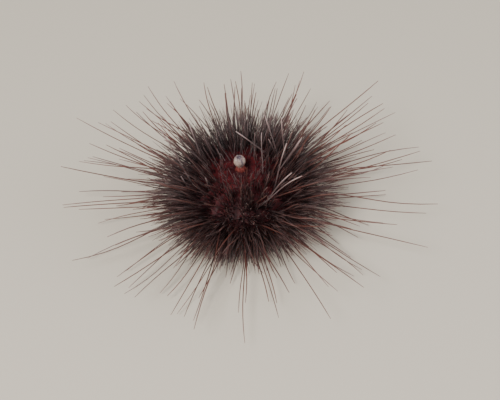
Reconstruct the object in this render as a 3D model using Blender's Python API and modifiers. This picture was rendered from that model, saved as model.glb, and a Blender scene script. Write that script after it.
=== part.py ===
"""A life-size long-spined sea urchin, standing on its oral spines with its crown up.

Sizes are in metres, +Z is up and the floor is at height zero. The test is a turned
body parted into five ambulacra and five interambulacra. Each sector carries its own
spines and tube feet, which are rooted in the solid and fused with it.
"""

import math
import random
from typing import NamedTuple

import bmesh
import bpy
import numpy as np
from mathutils import Matrix, Vector

# Test: a dome over a flatter underside, turned about the Z axis
TEST_RADIUS = 0.0140
UPPER_HEIGHT = 0.0073
LOWER_HEIGHT = 0.0052
UPPER_POWER = 2.2
LOWER_POWER = 2.5
STANCE = 0.0036
AMBITUS_Z = STANCE + LOWER_HEIGHT
CORE_RADIUS = 0.0015
SEAT_DEPTH = 0.0012
TEST_STEPS = 40
TEST_RINGS = 11
GAP = 0.0003

# Crown: apical disc, periproct and anal papilla
CROWN_STEPS = 30
PAPILLA_STEPS = 18
CROWN_RADIUS = 0.0053
PERIPROCT_RADIUS = 0.0031
GENITAL_RING = 0.0042
GENITAL_PLATE = (0.0013, 0.00078)
OCULAR_RING = 0.0045
OCULAR_PLATE = (0.0006, 0.00045)
PLATE_RISE = 0.00028
PLATE_ROOT = 0.0002
PLATE_TAPER = 0.8
GONOPORE_RADIUS = 0.00026
GONOPORE_RING = 0.0045
PERIPROCT_PLATES = 11
PERIPROCT_PLATE = 0.00042
MEMBRANE_RISE = 0.0004
PAPILLA_FOOT = 0.00115
PAPILLA_NECK = 0.00088
PAPILLA_BULB = 0.00143
BULB_HEIGHT = 0.0030
PAPILLA_FLARE = ((1.04 * PAPILLA_NECK, 0.0013), (PAPILLA_FOOT, 0.0005))
ANUS_RADIUS = 0.00045
ANUS_DEPTH = 0.0006

# Underside: mouth membrane, buccal feet, gills and the tips of the teeth
MOUTH_EDGE_RADIUS = 0.0060
MOUTH_RADIUS = 0.00185
LIP_WIDTH = 0.00035
LIP_DROP = 0.00085
MEMBRANE_INSET = 0.0001
MEMBRANE_SAG = ((0.0044, 0.0002), (0.0029, 0.0005))
TOOTH_RADIUS = 0.00042
TOOTH_TIP = 0.00008
TOOTH_LENGTH = 0.0016
TOOTH_RING = 0.0010
TOOTH_TIP_RING = 0.00042
BUCCAL_RING = 0.0034
BUCCAL_SPREAD = math.radians(13)
BUCCAL_REACH = (0.0002, 0.0012)
BUCCAL_SIDES = 5
BUCCAL_RADII = (0.00030, 0.00026, 0.00042)
GILL_RING = 0.0049
GILL_FINGERS = ((0.0009, 0.00055, math.radians(11)), (0.0009, 0.00077, math.radians(17)))
GILL_SIDES = 4
GILL_RADII = (0.00026, 0.00024, 0.00014)

# Sectors, counted from the ambulacrum that faces the viewer
SECTORS = 5
SECTOR_STEP = math.tau / SECTORS
FIRST_AMBULACRUM = math.radians(-90)
AMBULACRUM_HALF = math.radians(13)
INTERAMBULACRUM_HALF = SECTOR_STEP / 2 - AMBULACRUM_HALF

# Spines: how their roots are spaced and how thick they are
ROOT_SPACING = 0.00150
ROW_MARGIN = 0.0009
BORDER = 0.00072
ROOT_SINK = 0.0009
SPINE_SIDES = 3
LONG_RINGS = (0.36, 0.74)
LONG_RADII = (0.00034, 0.00031, 0.00028, 0.0)
SHORT_RINGS = (0.6,)
MIDDLE_RING = (0.6,)
SHORT_RADII = (0.00033, 0.00029, 0.0)
STILT_RADII = (0.00034, 0.00031, 0.00026)
SEED = 11
SEEDS_A_SECTOR = 1000
TRIES = 14

# Spine lengths by place down the test, from 0 at the crown to 1 at the mouth
LONG_LENGTHS = ((0.0, 0.0070), (0.12, 0.0150), (0.3, 0.0240), (0.5, 0.0315), (0.62, 0.0275), (0.78, 0.0110))
SHORT_LENGTHS = ((0.0, 0.0038), (0.2, 0.0070), (0.5, 0.0108), (0.65, 0.0090), (0.8, 0.0050))
# Slope of the spines by the same places, in degrees above the horizon
UPPER_SLOPES = ((0.0, 76), (0.12, 63), (0.26, 48), (0.4, 26), (0.5, 9))
SLOPES = UPPER_SLOPES + ((0.57, 0), (0.7, -17), (0.8, -42), (1.0, -66))
LENGTH_SPREAD = 0.12
AIM_SPREAD = 0.11
BOW = 0.05
CLEAR_AFTER = 0.0022

# Where the series of long spines run, and where the test is bare
SERIES_SHARE = 0.6
INNER_SERIES_SHARE = 0.24
INNER_SERIES = (0.25, 0.70)
NAKED_TO = 0.35
NAKED_SHARE = 0.3
FLANK_FROM = 0.5
STILTS_FROM = 0.8
STILT_SLOPE = math.radians(-35)
FLOOR_CLEARANCE = 0.0012
FAR_SIDE_SHARE = 0.4
NEAR_SIDE_SHARE = 0.08

# The view that the posed spines were read in, from the bulb of the papilla
VIEW_ELEVATION = math.radians(48)
VIEW_ROLL = math.radians(-8)
VIEW_DISTANCE = 0.35
# Posed spines: root and tip, right and up of the bulb as seen there, and length, in millimetres
POSED_SPINES = (
    (4.8, -11.2, 12.3, -3.2, 17.5),
    (4.1, -11.4, 14.7, -4.0, 20.0),
    (7.8, -7.7, 11.1, 3.7, 18.0),
    (8.5, 1.2, 6.8, 5.0, 10.5),
    (4.1, -2.8, 5.2, 6.4, 13.0),
    (8.5, -3.3, 14.6, 5.2, 16.0),
    (7.1, 1.5, -0.8, 6.8, 13.0),
    (-9.7, -7.0, -18.3, 6.8, 22.0),
    (-11.3, -7.5, -13.6, -3.7, 9.0),
    (10.6, -0.9, 9.8, 10.0, 16.0),
    (9.4, 0.0, 5.9, 10.6, 16.0),
    (-8.4, -0.8, -11.8, 8.5, 14.0),
    (-7.0, -7.1, -7.9, -4.2, 10.0),
    (9.6, -1.8, 14.0, 4.2, 13.0),
)
POSED_BOW = 0.03

# Tube feet under the ambulacra: places down the sector, and how far off its middle
TUBE_FOOT_PLACES = (0.80, 0.88, 0.96)
TUBE_FOOT_SHARE = 0.55
TUBE_FOOT_SIDES = 5
TUBE_FOOT_RINGS = (0.5, 0.86)
TUBE_FOOT_RADII = (0.00028, 0.00026, 0.00026, 0.0005)
TUBE_FOOT_LEAN = 0.0006

MERIDIAN_STEPS = 300
SHARP_ANGLE = math.radians(35)

CRIMSON = (0.17, 0.020, 0.022)
DARK_CRIMSON = (0.10, 0.018, 0.028)
BLOOD_RED = (0.24, 0.015, 0.018)
MEMBRANE_RED = (0.13, 0.035, 0.035)
CREAM = (0.84, 0.78, 0.69)
IVORY = (0.86, 0.83, 0.74)


class Root(NamedTuple):
    """Where a spine roots: its place down the sector, its azimuth, its lead and its kind."""

    arc: float
    azimuth: float
    lead: float
    is_long: bool


class Sector(NamedTuple):
    """One sector of the test: its name, middle azimuth, half angle and roots."""

    name: str
    centre: float
    half: float
    roots: list


class Rod(NamedTuple):
    """A spine or foot: the template it bends, its path and the radius at each point."""

    template: bpy.types.Mesh
    rings: tuple
    path: list
    radii: tuple
    stands: bool


def clear_scene():
    """Removes what the startup file holds."""
    for obj in list(bpy.data.objects):
        bpy.data.objects.remove(obj, do_unlink=True)


def new_collection(name):
    """A collection linked to the scene."""
    made = bpy.data.collections.new(name)
    bpy.context.scene.collection.children.link(made)
    return made


def surface_material(name, colour, roughness):
    """A Principled material of one colour."""
    made = bpy.data.materials.new(name)
    made.use_nodes = True
    shader = made.node_tree.nodes["Principled BSDF"]
    shader.inputs["Base Color"].default_value = (*colour, 1.0)
    shader.inputs["Roughness"].default_value = roughness
    shader.inputs["Metallic"].default_value = 0.0
    return made


def read_table(table, place):
    """The value of a table of (place, value) pairs at a place."""
    places, values = zip(*table)
    return float(np.interp(place, places, values))


def meridian(angle):
    """Radius, height and outward normal of the test at an angle above the ambitus."""
    reach = UPPER_HEIGHT if angle >= 0 else LOWER_HEIGHT
    power = UPPER_POWER if angle >= 0 else LOWER_POWER
    across = math.cos(angle) ** (2 / power)
    along = math.copysign(abs(math.sin(angle)) ** (2 / power), angle)
    steepness = math.copysign(abs(along) ** (power - 1) / reach, angle)
    normal = Vector((across ** (power - 1) / TEST_RADIUS, 0, steepness))
    return TEST_RADIUS * across, AMBITUS_Z + reach * along, normal.normalized()


def angle_at(radius, power):
    """How far above or below the ambitus, as a meridian angle, the test has a radius."""
    return math.acos((radius / TEST_RADIUS) ** (power / 2))


CROWN_ANGLE = angle_at(CROWN_RADIUS, UPPER_POWER)
MOUTH_ANGLE = -angle_at(MOUTH_EDGE_RADIUS, LOWER_POWER)
CROWN_SEAT = meridian(CROWN_ANGLE)[1] - SEAT_DEPTH
MOUTH_EDGE = meridian(MOUTH_ANGLE)[1]
MOUTH_SEAT = MOUTH_EDGE + SEAT_DEPTH
CROWN_TOP = AMBITUS_Z + UPPER_HEIGHT
MERIDIAN_ANGLES = np.linspace(CROWN_ANGLE, MOUTH_ANGLE, MERIDIAN_STEPS)
MERIDIAN_POINTS = np.array([meridian(angle)[:2] for angle in MERIDIAN_ANGLES])
MERIDIAN_ARCS = np.append(0, np.cumsum(np.linalg.norm(np.diff(MERIDIAN_POINTS, axis=0), axis=1)))
MERIDIAN_LENGTH = float(MERIDIAN_ARCS[-1])


def on_test(arc, azimuth):
    """Point and outward normal of the test, an arc's length down from the crown."""
    radius, height, normal = meridian(float(np.interp(arc, MERIDIAN_ARCS, MERIDIAN_ANGLES)))
    turn = Matrix.Rotation(azimuth, 3, "Z")
    return turn @ Vector((radius, 0, height)), turn @ normal


def height_over_test(point):
    """About how far a point is from the surface of the test."""
    rise = point.z - AMBITUS_Z
    reach = UPPER_HEIGHT if rise >= 0 else LOWER_HEIGHT
    power = UPPER_POWER if rise >= 0 else LOWER_POWER
    across = math.hypot(point.x, point.y) / TEST_RADIUS
    along = abs(rise) / reach
    steepness = power * math.hypot(across ** (power - 1) / TEST_RADIUS, along ** (power - 1) / reach)
    return (across**power + along**power - 1) / steepness


def linked(name, mesh, collection):
    """An object that holds a mesh, in a collection."""
    obj = bpy.data.objects.new(name, mesh)
    collection.objects.link(obj)
    return obj


def apply_modifiers(obj):
    """Replaces an object's mesh by the evaluated one."""
    bpy.context.view_layer.update()
    graph = bpy.context.evaluated_depsgraph_get()
    made = bpy.data.meshes.new_from_object(obj.evaluated_get(graph))
    obj.modifiers.clear()
    obj.data = made
    return obj


def turned(name, profile, collection, steps):
    """A body turned about Z from (radius, height) points that run down its outer side.

    The profile is a closed loop where it stays off the axis, or starts and ends on it.
    """
    count = len(profile)
    hollow = min(radius for radius, _ in profile) > 0
    edges = [(i, (i + 1) % count) for i in range(count if hollow else count - 1)]
    mesh = bpy.data.meshes.new(name)
    mesh.from_pydata([(radius, 0, height) for radius, height in profile], edges, [])
    obj = linked(name, mesh, collection)
    screw = obj.modifiers.new("turn", "SCREW")
    screw.steps = screw.render_steps = steps
    screw.use_merge_vertices = True
    screw.merge_threshold = 0.00001
    return apply_modifiers(obj)


def cone_mesh(name, sides, base, top):
    """A frustum, cone or prism that stands on the origin with unit height."""
    bm = bmesh.new()
    bmesh.ops.create_cone(bm, cap_ends=True, segments=sides, radius1=base, radius2=top, depth=1.0)
    bmesh.ops.translate(bm, verts=bm.verts[:], vec=(0, 0, 0.5))
    mesh = bpy.data.meshes.new(name)
    bm.to_mesh(mesh)
    bm.free()
    return mesh


def rod_template(name, sides, rings, pointed):
    """A cone or prism of unit height, cut into rings at some heights."""
    mesh = cone_mesh(name, sides, 1.0, 0.0 if pointed else 1.0)
    bm = bmesh.new()
    bm.from_mesh(mesh)
    for height in rings:
        geometry = bm.verts[:] + bm.edges[:] + bm.faces[:]
        bmesh.ops.bisect_plane(bm, geom=geometry, plane_co=(0, 0, height), plane_no=(0, 0, 1))
    bmesh.ops.triangulate(bm, faces=bm.faces[:])
    bm.to_mesh(mesh)
    bm.free()
    return mesh


def bent_rod(rod, name, collection):
    """A copy of a rod's template, bent along its path and given its radii."""
    mesh = rod.template.copy()
    stations = np.array([0.0, *rod.rings, 1.0])
    path = rod.path
    last = len(path) - 1
    tangents = [(path[min(i + 1, last)] - path[max(i - 1, 0)]).normalized() for i in range(last + 1)]
    reference = tangents[0].orthogonal()
    for vertex in mesh.vertices:
        i = int(np.abs(stations - vertex.co.z).argmin())
        side = (reference - tangents[i] * reference.dot(tangents[i])).normalized()
        around = math.atan2(vertex.co.y, vertex.co.x)
        arm = side * math.cos(around) + tangents[i].cross(side) * math.sin(around)
        vertex.co = path[i] + arm * rod.radii[i]
        if rod.stands and i == last:
            vertex.co.z = 0.0
    return linked(name, mesh, collection)


def keep_largest(mesh):
    """Deletes every closed surface of a mesh but the one with most faces."""
    bm = bmesh.new()
    bm.from_mesh(mesh)
    left = set(bm.faces)
    surfaces = []
    while left:
        surface = [left.pop()]
        for face in surface:
            near = {other for edge in face.edges for other in edge.link_faces} & left
            left -= near
            surface.extend(near)
        surfaces.append(surface)
    surfaces.sort(key=len)
    loose = [face for surface in surfaces[:-1] for face in surface]
    bmesh.ops.delete(bm, geom=loose, context="FACES")
    bm.to_mesh(mesh)
    bm.free()


def combine(obj, collection, operation, solver="EXACT"):
    """Joins, cuts or meets an object with a collection of closed pieces, and removes them."""
    boolean = obj.modifiers.new("combine", "BOOLEAN")
    boolean.operation = operation
    boolean.operand_type = "COLLECTION"
    boolean.collection = collection
    boolean.solver = solver
    apply_modifiers(obj)
    keep_largest(obj.data)
    for piece in list(collection.objects):
        bpy.data.objects.remove(piece, do_unlink=True)
    bpy.data.collections.remove(collection)
    return obj


def finish(obj, colour, roughness):
    """Gives a part its material and smooth shading."""
    obj.data.materials.clear()
    obj.data.materials.append(surface_material(obj.name, colour, roughness))
    obj.data.shade_smooth()
    obj.data.set_sharp_from_angle(angle=SHARP_ANGLE)
    return obj


class Thicket:
    """Every spine and foot placed so far, as segments, to keep new ones clear of them."""

    def __init__(self):
        self.starts = np.empty((0, 3))
        self.ends = np.empty((0, 3))
        self.radii = np.empty(0)
        self.owners = np.empty(0, int)

    def distances(self, start, end):
        """How far one segment passes from each that is placed."""
        first = end - start
        second = self.ends - self.starts
        between = start - self.starts
        a = first @ first
        b = second @ first
        c = between @ first
        e = (second * second).sum(1)
        f = (second * between).sum(1)
        spread = np.maximum(a * e - b * b, 1e-20)
        along = np.clip((b * f - c * e) / spread, 0, 1)
        other = np.clip((b * along + f) / e, 0, 1)
        along = np.clip((b * other - c) / a, 0, 1)
        between = between + along[:, None] * first - other[:, None] * second
        return np.linalg.norm(between, axis=1)

    def fits(self, path, radii, owner):
        """Whether a rod clears the others, and those of other parts by the gap."""
        points = np.array(path, float)
        clear = self.radii + np.where(self.owners == owner, GAP / 6, GAP)
        for i in range(len(points) - 1):
            need = clear + max(radii[i], radii[i + 1])
            if len(need) and (self.distances(points[i], points[i + 1]) < need).any():
                return False
        return True

    def add(self, path, radii, owner):
        """Places a rod."""
        points = np.array(path, float)
        self.starts = np.vstack([self.starts, points[:-1]])
        self.ends = np.vstack([self.ends, points[1:]])
        self.radii = np.append(self.radii, np.maximum(radii[:-1], radii[1:]))
        self.owners = np.append(self.owners, np.full(len(points) - 1, owner))


def room_at(arc, half):
    """How far off a sector's middle a root may stand, an arc's length down from the crown."""
    radius = float(np.interp(arc, MERIDIAN_ARCS, MERIDIAN_POINTS[:, 0]))
    return radius, max(radius * math.sin(half) - BORDER, 0.0)


def sector_roots(centre, half, is_wide):
    """The places where spines root: staggered rows across a sector."""
    rows = int((MERIDIAN_LENGTH - 2 * ROW_MARGIN) / ROOT_SPACING) + 1
    step = (MERIDIAN_LENGTH - 2 * ROW_MARGIN) / (rows - 1)
    roots = []
    for row in range(rows):
        arc = ROW_MARGIN + row * step
        fraction = arc / MERIDIAN_LENGTH
        radius, room = room_at(arc, half)
        side = 1 if row % 2 else -1
        series = [side * SERIES_SHARE * room]
        if is_wide and INNER_SERIES[0] < fraction < INNER_SERIES[1]:
            series.append(-side * INNER_SERIES_SHARE * room)
        columns = int(2 * room / ROOT_SPACING) + 1
        for column in range(columns):
            offset = (column - (columns - 1) / 2) * ROOT_SPACING
            if is_wide and fraction < NAKED_TO and abs(offset) < NAKED_SHARE * room:
                continue
            is_long = any(abs(offset - place) <= ROOT_SPACING / 2 for place in series)
            turn = math.asin(offset / radius)
            lead = turn * (half / math.asin(room / radius) - 1) if offset else 0.0
            roots.append(Root(arc, centre + turn, lead, is_long))
    return roots


def side_share(azimuth):
    """How long spines are for their side of the body: the far side has the shortest."""
    away = math.sin(azimuth)
    return 1 - FAR_SIDE_SHARE * max(away, 0.0) ** 2 - NEAR_SIDE_SHARE * max(-away, 0.0) ** 2


def grow_path(root, draw, looseness):
    """The points of a spine, from its sunk root to its tip."""
    fraction = root.arc / MERIDIAN_LENGTH
    base, normal = on_test(root.arc, root.azimuth)
    azimuth = root.azimuth + root.lead + draw.gauss(0, AIM_SPREAD * looseness)
    slope = math.radians(read_table(SLOPES, fraction)) + draw.gauss(0, AIM_SPREAD * looseness)
    table = LONG_LENGTHS if root.is_long else SHORT_LENGTHS
    length = read_table(table, fraction) * side_share(azimuth)
    length *= draw.uniform(1 - LENGTH_SPREAD, 1 + LENGTH_SPREAD)
    drop = base.z - FLOOR_CLEARANCE
    if fraction >= STILTS_FROM:
        slope = min(slope, STILT_SLOPE)
        length = base.z / math.sin(-slope)
    elif fraction > FLANK_FROM and math.sin(-slope) * length > drop:
        slope = -math.asin(drop / length)
    aim = Matrix.Rotation(azimuth, 3, "Z") @ Vector((math.cos(slope), 0, math.sin(slope)))
    level = Matrix.Rotation(azimuth, 3, "Z") @ Vector((0, 1, 0))
    bow = level * draw.gauss(0, BOW)
    if fraction < FLANK_FROM:
        bow += level.cross(aim) * draw.gauss(0, BOW)
    rings = LONG_RINGS if root.is_long and fraction < STILTS_FROM else SHORT_RINGS
    reach = [base + (aim * share + bow * share * share) * length for share in (*rings, 1.0)]
    return [base - normal * ROOT_SINK, *reach]


def strays(path, radii):
    """Whether a spine comes back to the test after it has left its root."""
    for i in range(1, len(path)):
        for share in (0.5, 1.0):
            point = path[i - 1].lerp(path[i], share)
            has_left = (point - path[0]).length > CLEAR_AFTER
            if has_left and height_over_test(point) < radii[i - 1] + GAP:
                return True
    return False


def grow_spines(sectors, thicket, templates):
    """Grows every sector's spines, the long ones of all sectors first."""
    grown = [[] for _ in sectors]
    pose_spines(sectors, thicket, templates, grown)
    for wants_long in (True, False):
        for owner, sector in enumerate(sectors):
            for number, root in enumerate(sector.roots):
                if root.is_long == wants_long:
                    grown[owner] += grow_spine(root, owner, number, thicket, templates)
    return grown


def grow_spine(root, owner, number, thicket, templates):
    """One spine that clears all the others, in a list that is empty where none does."""
    draw = random.Random(SEED + owner * SEEDS_A_SECTOR + number)
    stands = root.arc / MERIDIAN_LENGTH >= STILTS_FROM
    kind = "stilt" if stands else "long" if root.is_long else "short"
    template, rings, radii = templates[kind]
    for attempt in range(TRIES):
        path = grow_path(root, draw, 1 + attempt / TRIES)
        if not strays(path, radii) and thicket.fits(path, radii, owner):
            thicket.add(path, radii, owner)
            return [Rod(template, rings, path, radii, stands)]
    return []


def seen_at(right, up, towards):
    """The point that the view shows right and up of the bulb, some way towards the viewer."""
    level = Vector((1, 0, 0))
    over = Vector((0, math.sin(VIEW_ELEVATION), math.cos(VIEW_ELEVATION)))
    viewer = Vector((0, -math.cos(VIEW_ELEVATION), math.sin(VIEW_ELEVATION)))
    across = level * math.cos(VIEW_ROLL) + over * math.sin(VIEW_ROLL)
    upward = over * math.cos(VIEW_ROLL) - level * math.sin(VIEW_ROLL)
    bulb = Vector((0, 0, CROWN_TOP + BULB_HEIGHT))
    return bulb + (across * right + upward * up) * (1 - towards / VIEW_DISTANCE) + viewer * towards


def seen_on_test(right, up):
    """How far towards the viewer the test lies, where the view shows it."""
    steps = np.linspace(2 * TEST_RADIUS, -2 * TEST_RADIUS, MERIDIAN_STEPS)
    return next(step for step in steps if height_over_test(seen_at(right, up, step)) < 0)


def sector_at(azimuth, radius, sectors):
    """The sector that holds an azimuth, and that azimuth kept off the sector's borders."""
    turns = [math.remainder(azimuth - sector.centre, math.tau) for sector in sectors]
    owner = min(range(len(sectors)), key=lambda i: abs(turns[i]) - sectors[i].half)
    widest = math.asin(max(math.sin(sectors[owner].half) - BORDER / radius, 0.0))
    return owner, sectors[owner].centre + min(max(turns[owner], -widest), widest)


def pose_spines(sectors, thicket, templates, grown):
    """Roots the posed spines, each with the tip where the view shows it."""
    template, rings, radii = templates["long"]
    for root_right, root_up, tip_right, tip_up, length in POSED_SPINES:
        towards = seen_on_test(root_right / 1000, root_up / 1000)
        seen = seen_at(root_right / 1000, root_up / 1000, towards)
        radius = math.hypot(seen.x, seen.y)
        owner, azimuth = sector_at(math.atan2(seen.y, seen.x), radius, sectors)
        angle = angle_at(radius, UPPER_POWER)
        arc = float(np.interp(-angle, -MERIDIAN_ANGLES, MERIDIAN_ARCS))
        base, normal = on_test(arc, azimuth)
        across = math.hypot(tip_right - root_right, tip_up - root_up) / 1000
        rise = math.sqrt((length / 1000) ** 2 - across**2)
        tip = seen_at(tip_right / 1000, tip_up / 1000, towards + rise)
        bow = (tip - base).cross(normal) * POSED_BOW
        reach = [base.lerp(tip, share) - bow * share * (1 - share) * 4 for share in (*rings, 1.0)]
        path = [base - normal * ROOT_SINK, *reach]
        if thicket.fits(path, radii, owner):
            thicket.add(path, radii, owner)
            grown[owner].append(Rod(template, rings, path, radii, False))


def grow_tube_feet(sector, owner, thicket, templates):
    """The tube feet under an ambulacrum, in pairs, with their suckers flat on the floor."""
    template, rings, radii = templates["tube_foot"]
    rods = []
    for place in TUBE_FOOT_PLACES:
        radius, room = room_at(place * MERIDIAN_LENGTH, sector.half)
        for side in (-1, 1):
            azimuth = sector.centre + side * TUBE_FOOT_SHARE * room / radius
            base, normal = on_test(place * MERIDIAN_LENGTH, azimuth)
            below = Vector((base.x, base.y, 0))
            lean = below.normalized() * TUBE_FOOT_LEAN
            shaft = [base.lerp(below + lean, share) + lean * (1 - share) for share in TUBE_FOOT_RINGS]
            path = [base - normal * ROOT_SINK, *shaft, below + lean]
            thicket.add(path, radii, owner)
            rods.append(Rod(template, rings, path, radii, True))
    return rods


def list_sectors():
    """The ambulacra and interambulacra, in turn round the test."""
    sectors = []
    for i in range(SECTORS):
        centre = FIRST_AMBULACRUM + i * SECTOR_STEP
        roots = sector_roots(centre, AMBULACRUM_HALF, False)
        sectors.append(Sector(f"ambulacrum_{i + 1}", centre, AMBULACRUM_HALF, roots))
        centre += SECTOR_STEP / 2
        roots = sector_roots(centre, INTERAMBULACRUM_HALF, True)
        sectors.append(Sector(f"interambulacrum_{i + 1}", centre, INTERAMBULACRUM_HALF, roots))
    return sectors


def test_profile():
    """The outline of the turned test: its outer side, then both seats and the core."""
    angles = np.linspace(CROWN_ANGLE, MOUTH_ANGLE, TEST_RINGS)
    outer = [meridian(angle)[:2] for angle in angles]
    inner = [(CORE_RADIUS, MOUTH_SEAT), (CORE_RADIUS, CROWN_SEAT)]
    return [*outer, (MOUTH_EDGE_RADIUS, MOUTH_SEAT), *inner, (CROWN_RADIUS, CROWN_SEAT)]


def sector_solid(sector, profile, parts):
    """A sector of a turned body, less half a gap on each side."""
    obj = turned(sector.name, profile, parts, TEST_STEPS)
    cutters = new_collection("cutters")
    far = 4 * TEST_RADIUS
    point = Matrix.Translation((0, -1, 0))
    widen = Matrix.Diagonal((far * math.tan(sector.half) * math.sqrt(3), far, far, 1))
    back_off = Matrix.Translation((0, -GAP / 2 / math.sin(sector.half), -far / 4))
    turn = Matrix.Rotation(sector.centre + math.pi / 2, 4, "Z")
    wedge = cone_mesh("wedge", 3, 1.0, 1.0)
    wedge.transform(turn @ back_off @ widen @ point)
    linked("wedge", wedge, cutters)
    return combine(obj, cutters, "INTERSECT")


def build_corona(parts, thicket, templates):
    """The ten sectors of the test, each with its spines and tube feet."""
    sectors = list_sectors()
    feet = [[] for _ in sectors]
    for owner in range(0, len(sectors), 2):
        feet[owner] = grow_tube_feet(sectors[owner], owner, thicket, templates)
    spines = grow_spines(sectors, thicket, templates)
    profile = test_profile()
    for owner, sector in enumerate(sectors):
        obj = sector_solid(sector, profile, parts)
        growth = new_collection("growth")
        for rod in spines[owner] + feet[owner]:
            bent_rod(rod, "rod", growth)
        combine(obj, growth, "UNION", "MANIFOLD")
        finish(obj, DARK_CRIMSON if owner % 2 == 0 else CRIMSON, 0.5)


def plate_on_dome(name, azimuth, ring, size, rise, sides, collection):
    """A bevelled plate that stands a little out of the dome."""
    _, height, normal = meridian(angle_at(ring, UPPER_POWER))
    depth = 2 * rise + PLATE_ROOT
    mesh = cone_mesh(name, sides, 1.0, PLATE_TAPER)
    shape = Matrix.Diagonal((size[1], size[0], depth, 1)) @ Matrix.Rotation(-math.pi / 2, 4, "Z")
    sunk = Matrix.Translation((0, 0, rise - depth))
    tilt = Matrix.Rotation(math.atan2(normal.x, normal.z), 4, "Y")
    place = Matrix.Rotation(azimuth, 4, "Z") @ Matrix.Translation((ring, 0, height))
    mesh.transform(place @ tilt @ sunk @ shape)
    return linked(name, mesh, collection)


def build_apical_disc(parts):
    """The ring of genital and ocular plates round the periproct, with its gonopores."""
    outer = CROWN_RADIUS - GAP
    angles = np.linspace(angle_at(PERIPROCT_RADIUS, UPPER_POWER), angle_at(outer, UPPER_POWER), 5)
    floor = CROWN_SEAT + GAP
    profile = [*(meridian(angle)[:2] for angle in angles), (outer, floor), (PERIPROCT_RADIUS, floor)]
    obj = turned("apical_disc", profile, parts, CROWN_STEPS)
    plates = new_collection("plates")
    pores = new_collection("pores")
    for i in range(SECTORS):
        azimuth = FIRST_AMBULACRUM + i * SECTOR_STEP
        plate_on_dome("ocular", azimuth, OCULAR_RING, OCULAR_PLATE, PLATE_RISE, 6, plates)
        azimuth += SECTOR_STEP / 2
        plate_on_dome("genital", azimuth, GENITAL_RING, GENITAL_PLATE, PLATE_RISE, 5, plates)
        pore = (GONOPORE_RADIUS, GONOPORE_RADIUS)
        plate_on_dome("gonopore", azimuth, GONOPORE_RING, pore, 2 * PLATE_RISE, 8, pores)
    combine(obj, plates, "UNION")
    combine(obj, pores, "DIFFERENCE")
    return finish(obj, BLOOD_RED, 0.45)


def build_periproct(parts):
    """The membrane inside the apical disc, with a ring of small plates."""
    outer = PERIPROCT_RADIUS - GAP
    inner = PAPILLA_FOOT + GAP
    edge = meridian(angle_at(outer, UPPER_POWER))[1]
    floor = CROWN_SEAT + GAP
    middle = (inner + outer) / 2
    profile = [(inner, CROWN_TOP + MEMBRANE_RISE), (middle, CROWN_TOP + MEMBRANE_RISE / 2)]
    profile += [(outer, edge), (outer, floor), (inner, floor)]
    obj = turned("periproct", profile, parts, CROWN_STEPS)
    plates = new_collection("plates")
    size = (PERIPROCT_PLATE, PERIPROCT_PLATE)
    for i in range(PERIPROCT_PLATES):
        azimuth = math.tau * i / PERIPROCT_PLATES
        plate_on_dome("plate", azimuth, middle, size, MEMBRANE_RISE, 6, plates)
    combine(obj, plates, "UNION")
    return finish(obj, DARK_CRIMSON, 0.5)


def build_papilla(parts):
    """The anal cone: a flared foot, a neck and a pale bulb with the anus on its top."""
    bulb = CROWN_TOP + BULB_HEIGHT
    rim = math.asin(ANUS_RADIUS / PAPILLA_BULB)
    waist = math.pi - math.asin(PAPILLA_NECK / PAPILLA_BULB)
    arc = np.linspace(rim, waist, 7)
    top = bulb + PAPILLA_BULB * math.cos(rim)
    profile = [(0.0, top - ANUS_DEPTH), (0.6 * ANUS_RADIUS, top - 0.75 * ANUS_DEPTH)]
    profile += [(PAPILLA_BULB * math.sin(angle), bulb + PAPILLA_BULB * math.cos(angle)) for angle in arc]
    profile += [(radius, CROWN_TOP + rise) for radius, rise in PAPILLA_FLARE]
    profile += [(PAPILLA_FOOT, CROWN_SEAT + GAP), (0.0, CROWN_SEAT + GAP)]
    return finish(turned("anal_papilla", profile, parts, PAPILLA_STEPS), CREAM, 0.35)


def membrane_path(ring, azimuth, outward, downward):
    """A short path out of the mouth membrane, for a gill or a buccal foot."""
    turn = Matrix.Rotation(azimuth, 3, "Z")
    start = turn @ Vector((ring, 0, MOUTH_EDGE - MEMBRANE_SAG[0][1]))
    aim = turn @ Vector((outward, 0, -downward))
    return [start + aim * share for share in (-0.45, 0.4, 1.0)]


def build_peristome(parts, thicket, templates, owner):
    """The mouth membrane with its lip, buccal feet and gills."""
    outer = MOUTH_EDGE_RADIUS - GAP
    top = MOUTH_SEAT - GAP
    edge = MOUTH_EDGE + MEMBRANE_INSET
    lip = edge - LIP_DROP
    profile = [(0.0, top), (outer, top), (outer, edge)]
    profile += [(radius, edge - sag) for radius, sag in MEMBRANE_SAG]
    profile += [(MOUTH_RADIUS + LIP_WIDTH, lip), (MOUTH_RADIUS, lip + MEMBRANE_INSET)]
    profile += [(MOUTH_RADIUS, edge), (0.0, edge)]
    obj = turned("peristome", profile, parts, CROWN_STEPS)
    growth = new_collection("growth")
    for i in range(SECTORS):
        azimuth = FIRST_AMBULACRUM + i * SECTOR_STEP
        for side in (-1, 1):
            path = membrane_path(BUCCAL_RING, azimuth + side * BUCCAL_SPREAD, *BUCCAL_REACH)
            grow_rod(templates["buccal_foot"], path, owner, thicket, growth)
            for outward, downward, turn in GILL_FINGERS:
                path = membrane_path(GILL_RING, azimuth + side * turn, outward, downward)
                grow_rod(templates["gill"], path, owner, thicket, growth)
    combine(obj, growth, "UNION")
    return finish(obj, MEMBRANE_RED, 0.5)


def grow_rod(kind, path, owner, thicket, collection):
    """Adds one rod of a kind along a path."""
    template, rings, radii = kind
    thicket.add(path, radii, owner)
    return bent_rod(Rod(template, rings, path, radii, False), "rod", collection)


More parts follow.
